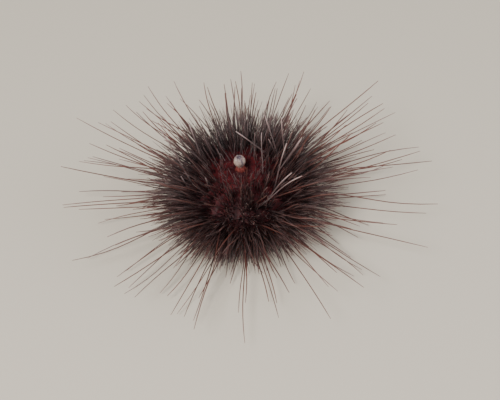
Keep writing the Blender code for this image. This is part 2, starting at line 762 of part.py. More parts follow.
def build_teeth(parts):
    """The five tooth tips in the mouth, leaning together."""
    top = MOUTH_EDGE + MEMBRANE_INSET - GAP - TOOTH_RADIUS / 2
    lean = math.asin((TOOTH_RING - TOOTH_TIP_RING) / TOOTH_LENGTH)
    for i in range(SECTORS):
        azimuth = FIRST_AMBULACRUM + (i + 0.5) * SECTOR_STEP
        mesh = cone_mesh("tooth", 4, 1.0, TOOTH_TIP / TOOTH_RADIUS)
        hang = Matrix.Translation((TOOTH_RING, 0, top)) @ Matrix.Rotation(lean, 4, "Y")
        size = Matrix.Diagonal((TOOTH_RADIUS, TOOTH_RADIUS, -TOOTH_LENGTH, 1))
        mesh.transform(Matrix.Rotation(azimuth, 4, "Z") @ hang @ size)
        mesh.flip_normals()
        finish(linked(f"tooth_{i + 1}", mesh, parts), IVORY, 0.3)


def rod_kinds():
    """The template, rings and radii of each kind of spine, foot and gill."""
    kinds = {
        "long": (SPINE_SIDES, LONG_RINGS, LONG_RADII),
        "short": (SPINE_SIDES, SHORT_RINGS, SHORT_RADII),
        "stilt": (SPINE_SIDES, SHORT_RINGS, STILT_RADII),
        "tube_foot": (TUBE_FOOT_SIDES, TUBE_FOOT_RINGS, TUBE_FOOT_RADII),
        "buccal_foot": (BUCCAL_SIDES, MIDDLE_RING, BUCCAL_RADII),
        "gill": (GILL_SIDES, MIDDLE_RING, GILL_RADII),
    }
    return {
        name: (rod_template(name, sides, rings, pointed=radii[-1] == 0), rings, radii)
        for name, (sides, rings, radii) in kinds.items()
    }


def centre_on_floor(parts):
    """Moves the whole animal so that the middle of its bounds is over the origin."""
    points = np.array([vertex.co for obj in parts.objects for vertex in obj.data.vertices])
    middle = (points.min(0) + points.max(0)) / 2
    for obj in parts.objects:
        obj.data.transform(Matrix.Translation((-middle[0], -middle[1], 0)))


def main():
    """Builds the urchin."""
    clear_scene()
    parts = new_collection("long_spined_urchin")
    templates = rod_kinds()
    thicket = Thicket()
    build_peristome(parts, thicket, templates, 2 * SECTORS)
    build_corona(parts, thicket, templates)
    build_apical_disc(parts)
    build_periproct(parts)
    build_papilla(parts)
    build_teeth(parts)
    centre_on_floor(parts)
    for template, _, _ in templates.values():
        bpy.data.meshes.remove(template)


main()
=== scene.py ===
"""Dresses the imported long-spined sea urchin and sets it on a plain pale floor.

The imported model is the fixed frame. One skin covers the whole test, from the crown to the
mouth. Fine spines grow from the same places and by the same rules as those of the solids,
with many more between them. Sizes are in metres and +Z is up.
"""

from __future__ import annotations

import logging
import math
import random
from dataclasses import dataclass, field
from enum import Enum
from typing import Any, Iterator, NamedTuple

import bpy
import numpy as np
from bpy.types import Material, Mesh, Node, NodeSocket, NodeTree, Object
from mathutils import Matrix, Vector, noise


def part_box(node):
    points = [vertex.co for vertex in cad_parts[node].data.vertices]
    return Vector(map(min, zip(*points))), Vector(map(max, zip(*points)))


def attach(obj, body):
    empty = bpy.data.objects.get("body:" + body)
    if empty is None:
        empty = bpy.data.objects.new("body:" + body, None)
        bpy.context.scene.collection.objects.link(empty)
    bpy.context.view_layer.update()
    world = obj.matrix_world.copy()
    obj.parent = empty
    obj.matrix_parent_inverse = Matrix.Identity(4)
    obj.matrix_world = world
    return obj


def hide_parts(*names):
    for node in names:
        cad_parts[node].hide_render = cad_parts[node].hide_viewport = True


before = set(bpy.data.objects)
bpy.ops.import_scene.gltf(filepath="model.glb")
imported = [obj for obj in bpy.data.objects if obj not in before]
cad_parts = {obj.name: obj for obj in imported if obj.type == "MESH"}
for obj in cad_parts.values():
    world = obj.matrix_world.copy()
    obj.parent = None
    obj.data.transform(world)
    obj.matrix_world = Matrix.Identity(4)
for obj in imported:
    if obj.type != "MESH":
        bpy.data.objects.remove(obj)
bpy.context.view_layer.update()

LOG = logging.getLogger("urchin")
MM_A_METRE = 1000
# The painted root shade's reach for feet and gills, whose finishes don't read it
SOFT_SHADE = 0.001

# The bake map: its middle, how far the unwrap reaches from it, and the patch of each spine
BAKE_MAP = "OFBake"
MAP_MIDDLE = 0.5
MAP_REACH = 0.49
PATCH = 0.003

# The five rays of the body, counted from the ambulacrum that faces the viewer
RAYS = 5
RAY_STEP = math.tau / RAYS
FIRST_RAY = math.radians(-90)
NARROW_HALF = math.radians(13)

Array = np.ndarray
Colour = tuple[float, float, float]
Table = tuple[tuple[float, float], ...]


class Layer(Enum):
    """The layers of the coat: how far its roots are shifted between the rows and columns."""

    MAIN = (0.0, 0.0)
    BETWEEN_ROWS = (0.5, 0.5)
    BESIDE = (0.0, 0.5)
    BELOW = (0.5, 0.0)
    FINE_LEFT = (0.25, 0.25)
    FINE_RIGHT = (0.75, 0.75)
    FINE_UP = (0.25, 0.75)
    FINE_DOWN = (0.75, 0.25)
    HAIR_LEFT = (0.125, 0.625)
    HAIR_RIGHT = (0.625, 0.125)
    HAIR_UP = (0.375, 0.875)
    HAIR_DOWN = (0.875, 0.375)


class Kind(Enum):
    """The kinds of spines."""

    PRIMARY = "primary"
    SECONDARY = "secondary"
    MILIARY = "miliary"
    STILT = "stilt"
    POSED = "posed"
    SWEPT = "swept"


class Habit(NamedTuple):
    """How a spine differs from what the rules give: in length, in scatter and in slope."""

    share: float = 1.0
    scatter: float = 1.0
    lift: float = 0.0


class Root(NamedTuple):
    """Where a spine roots, how far its aim leads off its azimuth, and whether it's long."""

    arc: float
    azimuth: float
    lead: float
    is_long: bool


class Sprout(NamedTuple):
    """One spine or foot: where it starts, how it reaches and bends, and how it looks."""

    start: Vector
    reach: Vector
    bend: Vector
    girth: float
    tip: float
    tone: float
    place: tuple[float, float]
    pale: float = 0.0
    # How far up from the root the spine's painted shade reaches
    shade: float = SOFT_SHADE


def read_table(table: Table, place: float) -> float:
    """The value of a table at a place.

    Args:
        table: pairs of place and value, in rising order of place.
        place: where to read it.

    Returns:
        The value, straight between the pairs.
    """
    places, values = zip(*table)
    return float(np.interp(place, places, values))


def smooth(values: Array, low: float, high: float) -> Array:
    """Eases from 0 at low to 1 at high.

    Args:
        values: the numbers to ease.
        low: where the ease starts.
        high: where it ends; it may be below low.

    Returns:
        The eased shares, from 0 to 1.
    """
    share = np.clip((values - low) / (high - low), 0, 1)
    return share * share * (3 - 2 * share)


def hump(values: Array, width: float) -> Array:
    """A soft hump, 1 where the values are 0 and nearly 0 from twice the width on."""
    return np.exp(-((values / width) ** 2))


def polar(reach: Any, azimuth: Any) -> tuple[Any, Any]:
    """The x and y of a place, by how far from the axis it lies and in what direction."""
    return reach * np.cos(azimuth), reach * np.sin(azimuth)


def map_spot(reach: Any, azimuth: Any) -> tuple[Any, Any]:
    """A place on the bake map, by how far from its middle it lies and in what direction."""
    across, up = polar(reach, azimuth)
    return MAP_MIDDLE + across, MAP_MIDDLE + up


def opaque(value: Any) -> Any:
    """A colour with its alpha, and anything else as it is."""
    return (*value, 1.0) if isinstance(value, tuple) and len(value) == 3 else value


class Graph:
    """Adds nodes to a tree, with their inputs set or linked in the same call."""

    def __init__(self, tree: NodeTree) -> None:
        """Keeps the tree that the nodes go into."""
        self.tree = tree

    def add(self, kind: str, feeds: dict[int | str, Any] | None = None, **settings: Any) -> Node:
        """Adds a node.

        Args:
            kind: the node's type.
            feeds: a constant or an output socket for each input, by index or name.
            settings: the node's own settings.

        Returns:
            The node.
        """
        node = self.tree.nodes.new(kind)
        for name, value in settings.items():
            setattr(node, name, value)
        for key, value in (feeds or {}).items():
            self.feed(node.inputs[key], value)
        return node

    def out(self, kind: str, feeds: dict[int | str, Any] | None = None, **settings: Any) -> Any:
        """Adds a node in the same way, and gives its first output."""
        return self.add(kind, feeds, **settings).outputs[0]

    def feed(self, socket: NodeSocket, value: Any) -> None:
        """Links an output socket to an input, or sets the input's constant."""
        if isinstance(value, NodeSocket):
            self.tree.links.new(value, socket)
        else:
            socket.default_value = value

    def math(self, operation: str, *values: Any) -> NodeSocket:
        """The result of one sum on numbers."""
        return self.out("ShaderNodeMath", dict(enumerate(values)), operation=operation)

    def scaled(self, vector: Any, scale: Any) -> NodeSocket:
        """A vector times a number."""
        return self.out("ShaderNodeVectorMath", {0: vector, "Scale": scale}, operation="SCALE")

    def summed(self, first: Any, *others: Any) -> NodeSocket:
        """The sum of vectors."""
        for other in others:
            first = self.out("ShaderNodeVectorMath", {0: first, 1: other}, operation="ADD")
        return first

    def mixed(self, share: Any, first: Any, second: Any, blend: str = "MIX") -> Any:
        """A blend of two colours.

        Args:
            share: how much of the second.
            first: a colour, as a constant or socket.
            second: the other colour.
            blend: how they blend.

        Returns:
            The blended colour.
        """
        feeds = {0: share, 6: opaque(first), 7: opaque(second)}
        return self.add("ShaderNodeMix", feeds, data_type="RGBA", blend_type=blend).outputs[2]

    def ranged(self, value: Any, low: Any, high: Any, start: float = 0.0, end: float = 1.0) -> Any:
        """Eases a value from start at low to end at high."""
        feeds = {"Value": value, "From Min": low, "From Max": high, "To Min": start, "To Max": end}
        return self.out("ShaderNodeMapRange", feeds, interpolation_type="SMOOTHSTEP")

    def keep(self, geometry: Any, name: str, data: str, domain: str, value: Any) -> Any:
        """Keeps a field on a geometry under a name."""
        feeds = {"Geometry": geometry, "Name": name}
        node = self.add("GeometryNodeStoreNamedAttribute", feeds, data_type=data, domain=domain)
        self.feed(node.inputs["Value"], value)
        return node.outputs[0]

    def read(self, name: str, data: str = "FLOAT") -> Any:
        """Reads a named field."""
        return self.out("GeometryNodeInputNamedAttribute", {"Name": name}, data_type=data)


def new_group(name: str, kind: str, inputs: dict[str, Any], output: str) -> tuple[Graph, Any]:
    """Starts a node group with named sockets.

    Args:
        name: the group's name.
        kind: the type of its tree.
        inputs: the default of each input that is a number, and the type of any other.
        output: the name of what it puts out, which is a number unless it names its type.

    Returns:
        A graph that fills the group, and the group's inputs.
    """
    tree = bpy.data.node_groups.new(name, kind)
    kinds = {int: "Int", float: "Float"}
    for label, value in inputs.items():
        socket_type = f"NodeSocket{kinds.get(type(value), value)}"
        socket = tree.interface.new_socket(label, in_out="INPUT", socket_type=socket_type)
        if not isinstance(value, str):
            socket.default_value = value
    made = output if output in ("Geometry", "Color") else "Float"
    tree.interface.new_socket(output, in_out="OUTPUT", socket_type=f"NodeSocket{made}")
    graph = Graph(tree)
    return graph, graph.add("NodeGroupInput").outputs


class Effects:
    """The shader groups that several finishes share, each built once."""

    def __init__(self) -> None:
        """Builds the groups."""
        self.mottle = self.build_mottle()
        self.grain = self.build_grain()
        self.wetness = self.build_wetness()

    @staticmethod
    def build_mottle() -> NodeTree:
        """Two tones in soft patches, with finer flecks in them.

        Returns:
            The group, which puts out a colour.
        """
        inputs = {"Vector": "Vector", "Scale": 400.0, "Contrast": 0.2}
        inputs |= {"Dark": "Color", "Light": "Color"}
        graph, given = new_group("mottle", "ShaderNodeTree", inputs, "Color")
        feeds = {"Vector": given["Vector"], "Scale": given["Scale"]}
        feeds |= {"Detail": 3.0, "Roughness": 0.6}
        patches = graph.out("ShaderNodeTexNoise", feeds)
        low = graph.math("SUBTRACT", 0.5, given["Contrast"])
        high = graph.math("ADD", 0.5, given["Contrast"])
        mask = graph.ranged(patches, low, high)
        colour = graph.mixed(mask, given["Dark"], given["Light"])
        graph.add("NodeGroupOutput", {"Color": colour})
        return graph.tree

    @staticmethod
    def build_grain() -> NodeTree:
        """Fine raised grains over soft folds.

        Returns:
            The group, which puts out a height.
        """
        inputs = {"Vector": "Vector", "Scale": 3000.0, "Folds": 0.5}
        graph, given = new_group("grain", "ShaderNodeTree", inputs, "Height")
        feeds = {"Vector": given["Vector"], "Scale": given["Scale"]}
        grains = graph.out("ShaderNodeTexVoronoi", feeds, feature="SMOOTH_F1")
        raised = graph.math("SUBTRACT", 1.0, grains)
        feeds |= {"Scale": graph.math("MULTIPLY", given["Scale"], 0.22), "Detail": 2.0}
        folds = graph.out("ShaderNodeTexNoise", feeds)
        height = graph.math("MULTIPLY_ADD", folds, given["Folds"], raised)
        graph.add("NodeGroupOutput", {"Height": height})
        return graph.tree

    @staticmethod
    def build_wetness() -> NodeTree:
        """Roughness that drifts between a wet and a drier sheen.

        Returns:
            The group, which puts out a roughness.
        """
        inputs = {"Vector": "Vector", "Scale": 600.0, "Wet": 0.3, "Dry": 0.6}
        graph, given = new_group("wetness", "ShaderNodeTree", inputs, "Roughness")
        feeds = {"Vector": given["Vector"], "Scale": given["Scale"], "Detail": 2.0}
        drift = graph.out("ShaderNodeTexNoise", feeds)
        feeds = {"Value": drift, "From Min": 0.3, "From Max": 0.7}
        feeds |= {"To Min": given["Wet"], "To Max": given["Dry"]}
        roughness = graph.out("ShaderNodeMapRange", feeds)
        graph.add("NodeGroupOutput", {"Roughness": roughness})
        return graph.tree


class Paint:
    """A Principled material in the making, with the nodes that feed its shader."""

    def __init__(self, name: str, effects: Effects) -> None:
        """Starts a material.

        Args:
            name: the material's name.
            effects: the shared groups.
        """
        self.material = bpy.data.materials.new(name)
        self.material.use_nodes = True
        self.shader = self.material.node_tree.nodes["Principled BSDF"]
        self.graph = Graph(self.material.node_tree)
        self.effects = effects
        self.place = self.graph.add("ShaderNodeTexCoord").outputs["Object"]

    def attribute(self, name: str) -> NodeSocket:
        """A number kept on the surface."""
        return self.graph.add("ShaderNodeAttribute", attribute_name=name).outputs["Fac"]

    def group(self, tree: NodeTree, **feeds: Any) -> NodeSocket:
        """What a shared effect gives here, with the finish's own values."""
        values = {label: opaque(value) for label, value in feeds.items()}
        return self.graph.out("ShaderNodeGroup", {"Vector": self.place} | values, node_tree=tree)

    def mottle(self, scale: float, contrast: float, dark: Colour, light: Colour) -> Any:
        """A colour in two tones, in soft patches."""
        feeds = {"Scale": scale, "Contrast": contrast, "Dark": dark, "Light": light}
        return self.group(self.effects.mottle, **feeds)

    def colour(self, value: Any) -> None:
        """Gives the surface its colour."""
        self.graph.feed(self.shader.inputs["Base Color"], value)

    def sheen(self, scale: float, wet: float, dry: float) -> None:
        """Lets the roughness drift between a wet and a drier sheen."""
        roughness = self.group(self.effects.wetness, Scale=scale, Wet=wet, Dry=dry)
        self.graph.feed(self.shader.inputs["Roughness"], roughness)

    def bump(self, height: Any, strength: float, distance: float) -> None:
        """Raises the surface by a height."""
        feeds = {"Height": height, "Strength": strength, "Distance": distance}
        normal = self.graph.out("ShaderNodeBump", feeds)
        self.graph.feed(self.shader.inputs["Normal"], normal)

    def grain(self, scale: float, folds: float, strength: float, distance: float) -> None:
        """Raises fine grains over soft folds."""
        self.bump(self.group(self.effects.grain, Scale=scale, Folds=folds), strength, distance)

    def settle(self, values: dict[str, Any]) -> None:
        """Sets constants on the shader's own sockets."""
        for label, value in values.items():
            self.shader.inputs[label].default_value = value

    def glow(self, weight: float, radius: Colour, scale: float) -> None:
        """Lets light scatter under the surface."""
        self.settle({"Subsurface Weight": weight, "Subsurface Scale": scale})
        self.settle({"Subsurface Radius": radius})

    def coat(self, weight: float, roughness: float) -> None:
        """Lays a thin wet coat over the surface."""
        self.settle({"Coat Weight": weight, "Coat Roughness": roughness})


class Finish:
    """What every finish can do: make its material."""

    def material(self, name: str, effects: Effects) -> Material:
        """Makes the material.

        Args:
            name: the material's name.
            effects: the shared groups.

        Returns:
            The material.
        """
        paint = Paint(name, effects)
        self.dress(paint)
        return paint.material

    def dress(self, paint: Paint) -> None:
        """Feeds the material in the making; each finish has its own way."""
        raise NotImplementedError


@dataclass(frozen=True)
class SpineFinish(Finish):
    """Slender calcite spines: mauve brown, often pale at the tip, darkened at the root by painted
    shade.
    """

    # root: the colour of the painted shade at the root, the shadow among the spines near the skin
    root: Colour
    shaft: Colour
    light_shaft: Colour
    # outer: the red of a painted glow, light shining through the outer ends of the spines
    outer: Colour
    tip: Colour
    flecks: tuple[Colour, Colour] = ((0.72, 0.72, 0.72), (1.18, 1.12, 1.1))
    # The painted shade at the root fades out between these multiples of the spine's shade reach
    root_shade_ends: tuple[float, float] = (0.2, 1.6)
    through_light_ends: tuple[float, float] = (5.0, 15.0)
    through_light_most: float = 0.9
    tip_pales: tuple[float, float] = (0.62, 0.97)
    ridges: float = 9.0
    knots: float = 190.0
    knot_height: float = 0.3

    def dress(self, paint: Paint) -> None:
        """Paints shade at the roots and a red glow of light through the outer ends, pales the tips
        and ribs the shafts.

        Args:
            paint: the material in the making.
        """
        graph = paint.graph
        along, tone = paint.attribute("along"), paint.attribute("tone")
        flecks = paint.mottle(900.0, 0.3, *self.flecks)
        shaft = graph.mixed(tone, self.shaft, self.light_shaft)
        shaft = graph.mixed(0.8, shaft, flecks, "MULTIPLY")
        # Painted light: the outer ends glow red as if lit through, the darker spines more so
        outer = graph.mixed(0.5, self.outer, flecks, "MULTIPLY")
        through_light = graph.ranged(paint.attribute("out"), *self.through_light_ends, 0.0, self.through_light_most)
        through_light = graph.math("MULTIPLY", through_light, graph.math("SUBTRACT", 1.0, tone))
        shaft = graph.mixed(through_light, shaft, outer)
        # Painted shade: each spine is dark near its root, as if in the shadow among the spines
        grown = graph.ranged(paint.attribute("rise"), *self.root_shade_ends)
        grown = graph.mixed(grown, self.root, shaft)
        whitened = graph.ranged(along, *self.tip_pales)
        whitened = graph.math("MULTIPLY", whitened, paint.attribute("pale"))
        paint.colour(graph.mixed(whitened, grown, self.tip))
        turn = graph.math("MULTIPLY", paint.attribute("around"), math.tau * self.ridges)
        knots = graph.math("SINE", graph.math("MULTIPLY", along, self.knots))
        height = graph.math("MULTIPLY_ADD", knots, self.knot_height, graph.math("SINE", turn))
        paint.bump(height, 0.35, 0.00002)
        paint.sheen(500.0, 0.3, 0.55)
        paint.glow(0.18, (1.0, 0.45, 0.35), 0.0004)
        paint.coat(0.12, 0.3)


@dataclass(frozen=True)
class SkinFinish(Finish):
    """Moist skin over the test: blood red where it is bare, darker between the spines."""

    bare: Colour
    bare_light: Colour
    covered: Colour
    covered_dark: Colour
    # ring: partly the periproct's dark membrane, partly painted shade round the papilla's foot
    ring: Colour
    mouth: Colour
    # groove: the colour of the painted shade in the grooves, pores, folds and throat
    groove: Colour

    def dress(self, paint: Paint) -> None:
        """Lays bare skin, the ring, the mouth and the painted shade of the grooves and hollows
        over the covered skin.

        Args:
            paint: the material in the making.
        """
        colour = paint.mottle(450.0, 0.2, self.covered_dark, self.covered)
        bare = paint.mottle(700.0, 0.16, self.bare, self.bare_light)
        # The hollow mask lays painted shade over the rest
        layers = {"bare": bare, "ring": self.ring, "mouth": self.mouth, "hollow": self.groove}
        for mask, over in layers.items():
            colour = paint.graph.mixed(paint.attribute(mask), colour, over)
        paint.colour(colour)
        paint.sheen(800.0, 0.42, 0.72)
        paint.grain(3200.0, 0.8, 0.5, 0.00008)
        paint.glow(0.15, (1.0, 0.25, 0.2), 0.0005)
        paint.coat(0.02, 0.3)
        paint.settle({"Specular IOR Level": 0.12})


@dataclass(frozen=True)
class BulbFinish(Finish):
    """The anal papilla: a red foot and neck under a cream bulb, grey-mauve at the anus, with
    painted shade down the crease.
    """

    foot: Colour
    neck: Colour
    neck_shade: Colour
    cream: Colour
    cream_shade: Colour
    # anus: the grey-mauve of the anus, also painted as shade down the crease
    anus: Colour
    neck_starts: tuple[float, float] = (0.04, 0.24)
    bulb_starts: tuple[float, float] = (0.32, 0.43)

    def dress(self, paint: Paint) -> None:
        """Lays the neck over the foot, the bulb over the neck, and the anus and the painted shade
        of the crease over the bulb.

        Args:
            paint: the material in the making.
        """
        graph = paint.graph
        rise = paint.attribute("along")
        neck = paint.mottle(1900.0, 0.18, self.neck_shade, self.neck)
        cream = paint.mottle(1500.0, 0.22, self.cream_shade, self.cream)
        colour = graph.mixed(graph.ranged(rise, *self.neck_starts), self.foot, neck)
        colour = graph.mixed(graph.ranged(rise, *self.bulb_starts), colour, cream)
        # The hollow mask: the anus's own grey-mauve, and painted shade in the crease
        paint.colour(graph.mixed(paint.attribute("hollow"), colour, self.anus))
        paint.sheen(1200.0, 0.22, 0.42)
        paint.grain(5200.0, 1.0, 0.45, 0.00006)
        paint.glow(0.35, (1.0, 0.6, 0.45), 0.0006)
        paint.coat(0.08, 0.25)
        paint.settle({"Specular IOR Level": 0.25})


@dataclass(frozen=True)
class SoftFinish(Finish):
    """Feet, gills and small soft parts, in two tones from base to end."""

    base: Colour
    base_light: Colour
    end: Colour
    scale: float = 1800.0
    wet: float = 0.2
    dry: float = 0.4
    shine: float = 0.5
    end_starts: tuple[float, float] = (0.55, 1.0)

    def dress(self, paint: Paint) -> None:
        """Mottles the base and turns it to the colour of the end.

        Args:
            paint: the material in the making.
        """
        flesh = paint.mottle(self.scale, 0.25, self.base, self.base_light)
        end = paint.graph.ranged(paint.attribute("along"), *self.end_starts)
        paint.colour(paint.graph.mixed(end, flesh, self.end))
        paint.sheen(900.0, self.wet, self.dry)
        paint.grain(6000.0, 1.2, 0.35, 0.00004)
        paint.glow(0.3, (1.0, 0.5, 0.4), 0.0005)
        paint.settle({"Specular IOR Level": self.shine})


@dataclass(frozen=True)
class ToothFinish(Finish):
    """White calcite with fine growth lines and a few stains."""

    ivory: Colour
    stain: Colour
    lines: float = 130.0

    def dress(self, paint: Paint) -> None:
        """Stains the calcite and raises its growth lines.

        Args:
            paint: the material in the making.
        """
        graph = paint.graph
        paint.colour(paint.mottle(2600.0, 0.25, self.stain, self.ivory))
        paint.sheen(2000.0, 0.18, 0.35)
        lines = graph.math("SINE", graph.math("MULTIPLY", paint.attribute("along"), self.lines))
        paint.bump(lines, 0.3, 0.00001)


def grown_mesh(obj: Object, tree: NodeTree, values: dict[str, Any]) -> Object:
    """Runs a node tree on an object, and turns the result into its own plain mesh.

    Args:
        obj: the object that holds the points.
        tree: the node tree.
        values: the tree's inputs, by name.

    Returns:
        The same object, with no modifier left.
    """
    modifier = obj.modifiers.new(tree.name, "NODES")
    modifier.node_group = tree
    for socket in tree.interface.items_tree:
        if socket.in_out == "INPUT" and socket.name in values:
            modifier[socket.identifier] = values[socket.name]
    bpy.context.view_layer.update()
    graph = bpy.context.evaluated_depsgraph_get()
    made = bpy.data.meshes.new_from_object(obj.evaluated_get(graph))
    obj.modifiers.clear()
    obj.data = made
    made.name = obj.name
    return obj


def linked(name: str, mesh: Mesh) -> Object:
    """An object that holds a mesh, in the scene."""
    obj = bpy.data.objects.new(name, mesh)
    bpy.context.scene.collection.objects.link(obj)
    return obj


def keep_values(mesh: Mesh, name: str, values: Any) -> None:
    """Keeps a number or a vector on each vertex of a mesh."""
    flat = np.array(values, np.float32)
    kind, key = ("FLOAT_VECTOR", "vector") if flat.ndim > 1 else ("FLOAT", "value")
    mesh.attributes.new(name, kind, "POINT").data.foreach_set(key, flat.ravel())


def set_unwrap(mesh: Mesh, spots: Array) -> None:
    """Gives each vertex of a mesh its place on the bake map."""
    corners = np.empty(len(mesh.loops), int)
    mesh.loops.foreach_get("vertex_index", corners)
    layer = mesh.uv_layers.get(BAKE_MAP) or mesh.uv_layers.new(name=BAKE_MAP)
    layer.uv.foreach_set("vector", spots[corners].astype(np.float32).ravel())


def by_vertex(rings: Array) -> Array:
    """Values on rings in the order of a turned mesh's vertices, with one for each pole."""
    inner = rings[1:-1].reshape(-1, *rings.shape[2:])
    return np.concatenate([rings[0, :1], inner, rings[-1, :1]])


def turned_mesh(name: str, points: Array, unwrap: Array, kept: dict[str, Array]) -> Mesh:
    """A closed, smooth body from rings of points between two poles.

    Args:
        name: the mesh's name.
        points: rings by columns by three; the first and last ring are each one point.
        unwrap: rings by columns by two, the place of each point on the bake map.
        kept: the numbers that each point keeps, rings by columns, by their name.

    Returns:
        The mesh, with its bake map.
    """
    rings, columns = points.shape[:2]
    vertices = by_vertex(points)
    last = len(vertices) - 1
    sides = [(column, (column + 1) % columns) for column in range(columns)]
    faces: list[tuple[int, ...]] = [(0, 1 + j, 1 + k) for j, k in sides]
    for ring in range(rings - 3):
        here = 1 + ring * columns
        below = here + columns
        faces += [(here + j, below + j, below + k, here + k) for j, k in sides]
    here = 1 + (rings - 3) * columns
    faces += [(here + j, last, here + k) for j, k in sides]
    mesh = bpy.data.meshes.new(name)
    mesh.from_pydata(vertices.tolist(), [], faces)
    set_unwrap(mesh, by_vertex(unwrap))
    for label, values in kept.items():
        keep_values(mesh, label, by_vertex(values))
    mesh.shade_smooth()
    return mesh


@dataclass
class TestShape:
    """The dome of the test over its flatter underside, round the body's axis."""

    radius: float = 0.0140
    upper_height: float = 0.0073
    lower_height: float = 0.0052
    upper_power: float = 2.2
    lower_power: float = 2.5
    stance: float = 0.0036
    crown_radius: float = 0.0053
    mouth_edge_radius: float = 0.0060
    steps: int = 300
    angles: Array = field(init=False)
    arcs: Array = field(init=False)
    radii: Array = field(init=False)

    def __post_init__(self) -> None:
        """Measures the test's side from the crown to the mouth."""
        top = self.angle_at(self.crown_radius, self.upper_power)
        low = -self.angle_at(self.mouth_edge_radius, self.lower_power)
        self.angles = np.linspace(top, low, self.steps)
        points = np.array([self.meridian(angle)[:2] for angle in self.angles])
        self.arcs = np.append(0, np.cumsum(np.linalg.norm(np.diff(points, axis=0), axis=1)))
        self.radii = points[:, 0]

    @property
    def ambitus(self) -> float:
        """The height of the widest part."""
        return self.stance + self.lower_height

    @property
    def top(self) -> float:
        """The height of the top of the dome."""
        return self.ambitus + self.upper_height

    @property
    def length(self) -> float:
        """The way down the side, from the crown to the edge of the mouth."""
        return float(self.arcs[-1])

    @property
    def mouth_edge(self) -> float:
        """The height of the edge of the mouth membrane."""
        return self.meridian(self.angles[-1])[1]

    def angle_at(self, radius: float, power: float) -> float:
        """How far above or below the ambitus, as an angle, the test has a radius."""
        return math.acos((radius / self.radius) ** (power / 2))

    def half_of(self, rise: float) -> tuple[float, float]:
        """Height and power of the upper half, or of the lower one for a rise below zero."""
        if rise >= 0:
            return self.upper_height, self.upper_power
        return self.lower_height, self.lower_power

    def meridian(self, angle: float) -> tuple[float, float, Vector]:
        """The outline of the test.

        Args:
            angle: how far above the ambitus.

        Returns:
            Radius, height and outward normal.
        """
        reach, power = self.half_of(angle)
        across = max(math.cos(angle), 0.0) ** (2 / power)
        along = math.copysign(abs(math.sin(angle)) ** (2 / power), angle)
        steepness = math.copysign(abs(along) ** (power - 1) / reach, angle)
        normal = Vector((across ** (power - 1) / self.radius, 0, steepness))
        return self.radius * across, self.ambitus + reach * along, normal.normalized()

    def on_test(self, arc: float, azimuth: float) -> tuple[Vector, Vector]:
        """Point and outward normal, an arc's length down from the crown."""
        radius, height, normal = self.meridian(float(np.interp(arc, self.arcs, self.angles)))
        turn = Matrix.Rotation(azimuth, 3, "Z")
        return turn @ Vector((radius, 0, height)), turn @ normal

    def room_at(self, arc: float, half: float, border: float) -> tuple[float, float]:
        """Radius at an arc, and how far off a sector's middle a root may stand there."""
        radius = float(np.interp(arc, self.arcs, self.radii))
        return radius, max(radius * math.sin(half) - border, 0.0)

    def spot_of(self, arc: float, azimuth: float) -> tuple[float, float]:
        """Where a place on the test lies on the bake map of its skin."""
        whole = self.crown_radius + self.length + self.mouth_edge_radius
        return map_spot(MAP_REACH * (self.crown_radius + arc) / whole, azimuth)

    def height_over(self, point: Vector) -> float:
        """How a point lies to the surface: above zero outside it, below zero inside."""
        rise = point.z - self.ambitus
        reach, power = self.half_of(rise)
        across = math.hypot(point.x, point.y) / self.radius
        return across**power + (abs(rise) / reach) ** power - 1


@dataclass
class View:
    """The photo's view: where the camera stands, and where it sees the papilla's bulb.

    The picture's width and height, the focal length and the bulb's place in the picture are
    in the photo's pixels, and the sensor is in millimetres.
    """

    bulb: Vector
    elevation: float = math.radians(48)
    roll: float = math.radians(-8)
    distance: float = 0.35
    width: int = 500
    height: int = 400
    focal: float = 1500.0
    bulb_seen: tuple[float, float] = (239.5, 161.0)
    sensor: float = 36.0
    clip: tuple[float, float] = (0.01, 20.0)

    def axes(self) -> tuple[Vector, Vector, Vector]:
        """The view's right, up and backward directions."""
        level = Vector((1, 0, 0))
        over = Vector((0, math.sin(self.elevation), math.cos(self.elevation)))
        back = Vector((0, -math.cos(self.elevation), math.sin(self.elevation)))
        right = level * math.cos(self.roll) + over * math.sin(self.roll)
        up = over * math.cos(self.roll) - level * math.sin(self.roll)
        return right, up, back

    def seen_at(self, across: float, rise: float, towards: float) -> Vector:
        """The point seen right and up of the bulb, some way towards the viewer."""
        right, up, back = self.axes()
        spread = 1 - towards / self.distance
        return self.bulb + (right * across + up * rise) * spread + back * towards

    def set_camera(self) -> None:
        """Makes the scene's camera."""
        right, up, back = self.axes()
        across = (self.bulb_seen[0] - self.width / 2) / self.focal * self.distance
        rise = (self.height / 2 - self.bulb_seen[1]) / self.focal * self.distance
        data = bpy.data.cameras.new("camera")
        data.sensor_width = self.sensor
        data.lens = self.focal / self.width * self.sensor
        data.clip_start, data.clip_end = self.clip
        camera = bpy.data.objects.new("camera", data)
        camera.matrix_world = Matrix((right, up, back)).transposed().to_4x4()
        camera.location = self.bulb + back * self.distance - right * across - up * rise
        bpy.context.scene.collection.objects.link(camera)
        bpy.context.scene.camera = camera


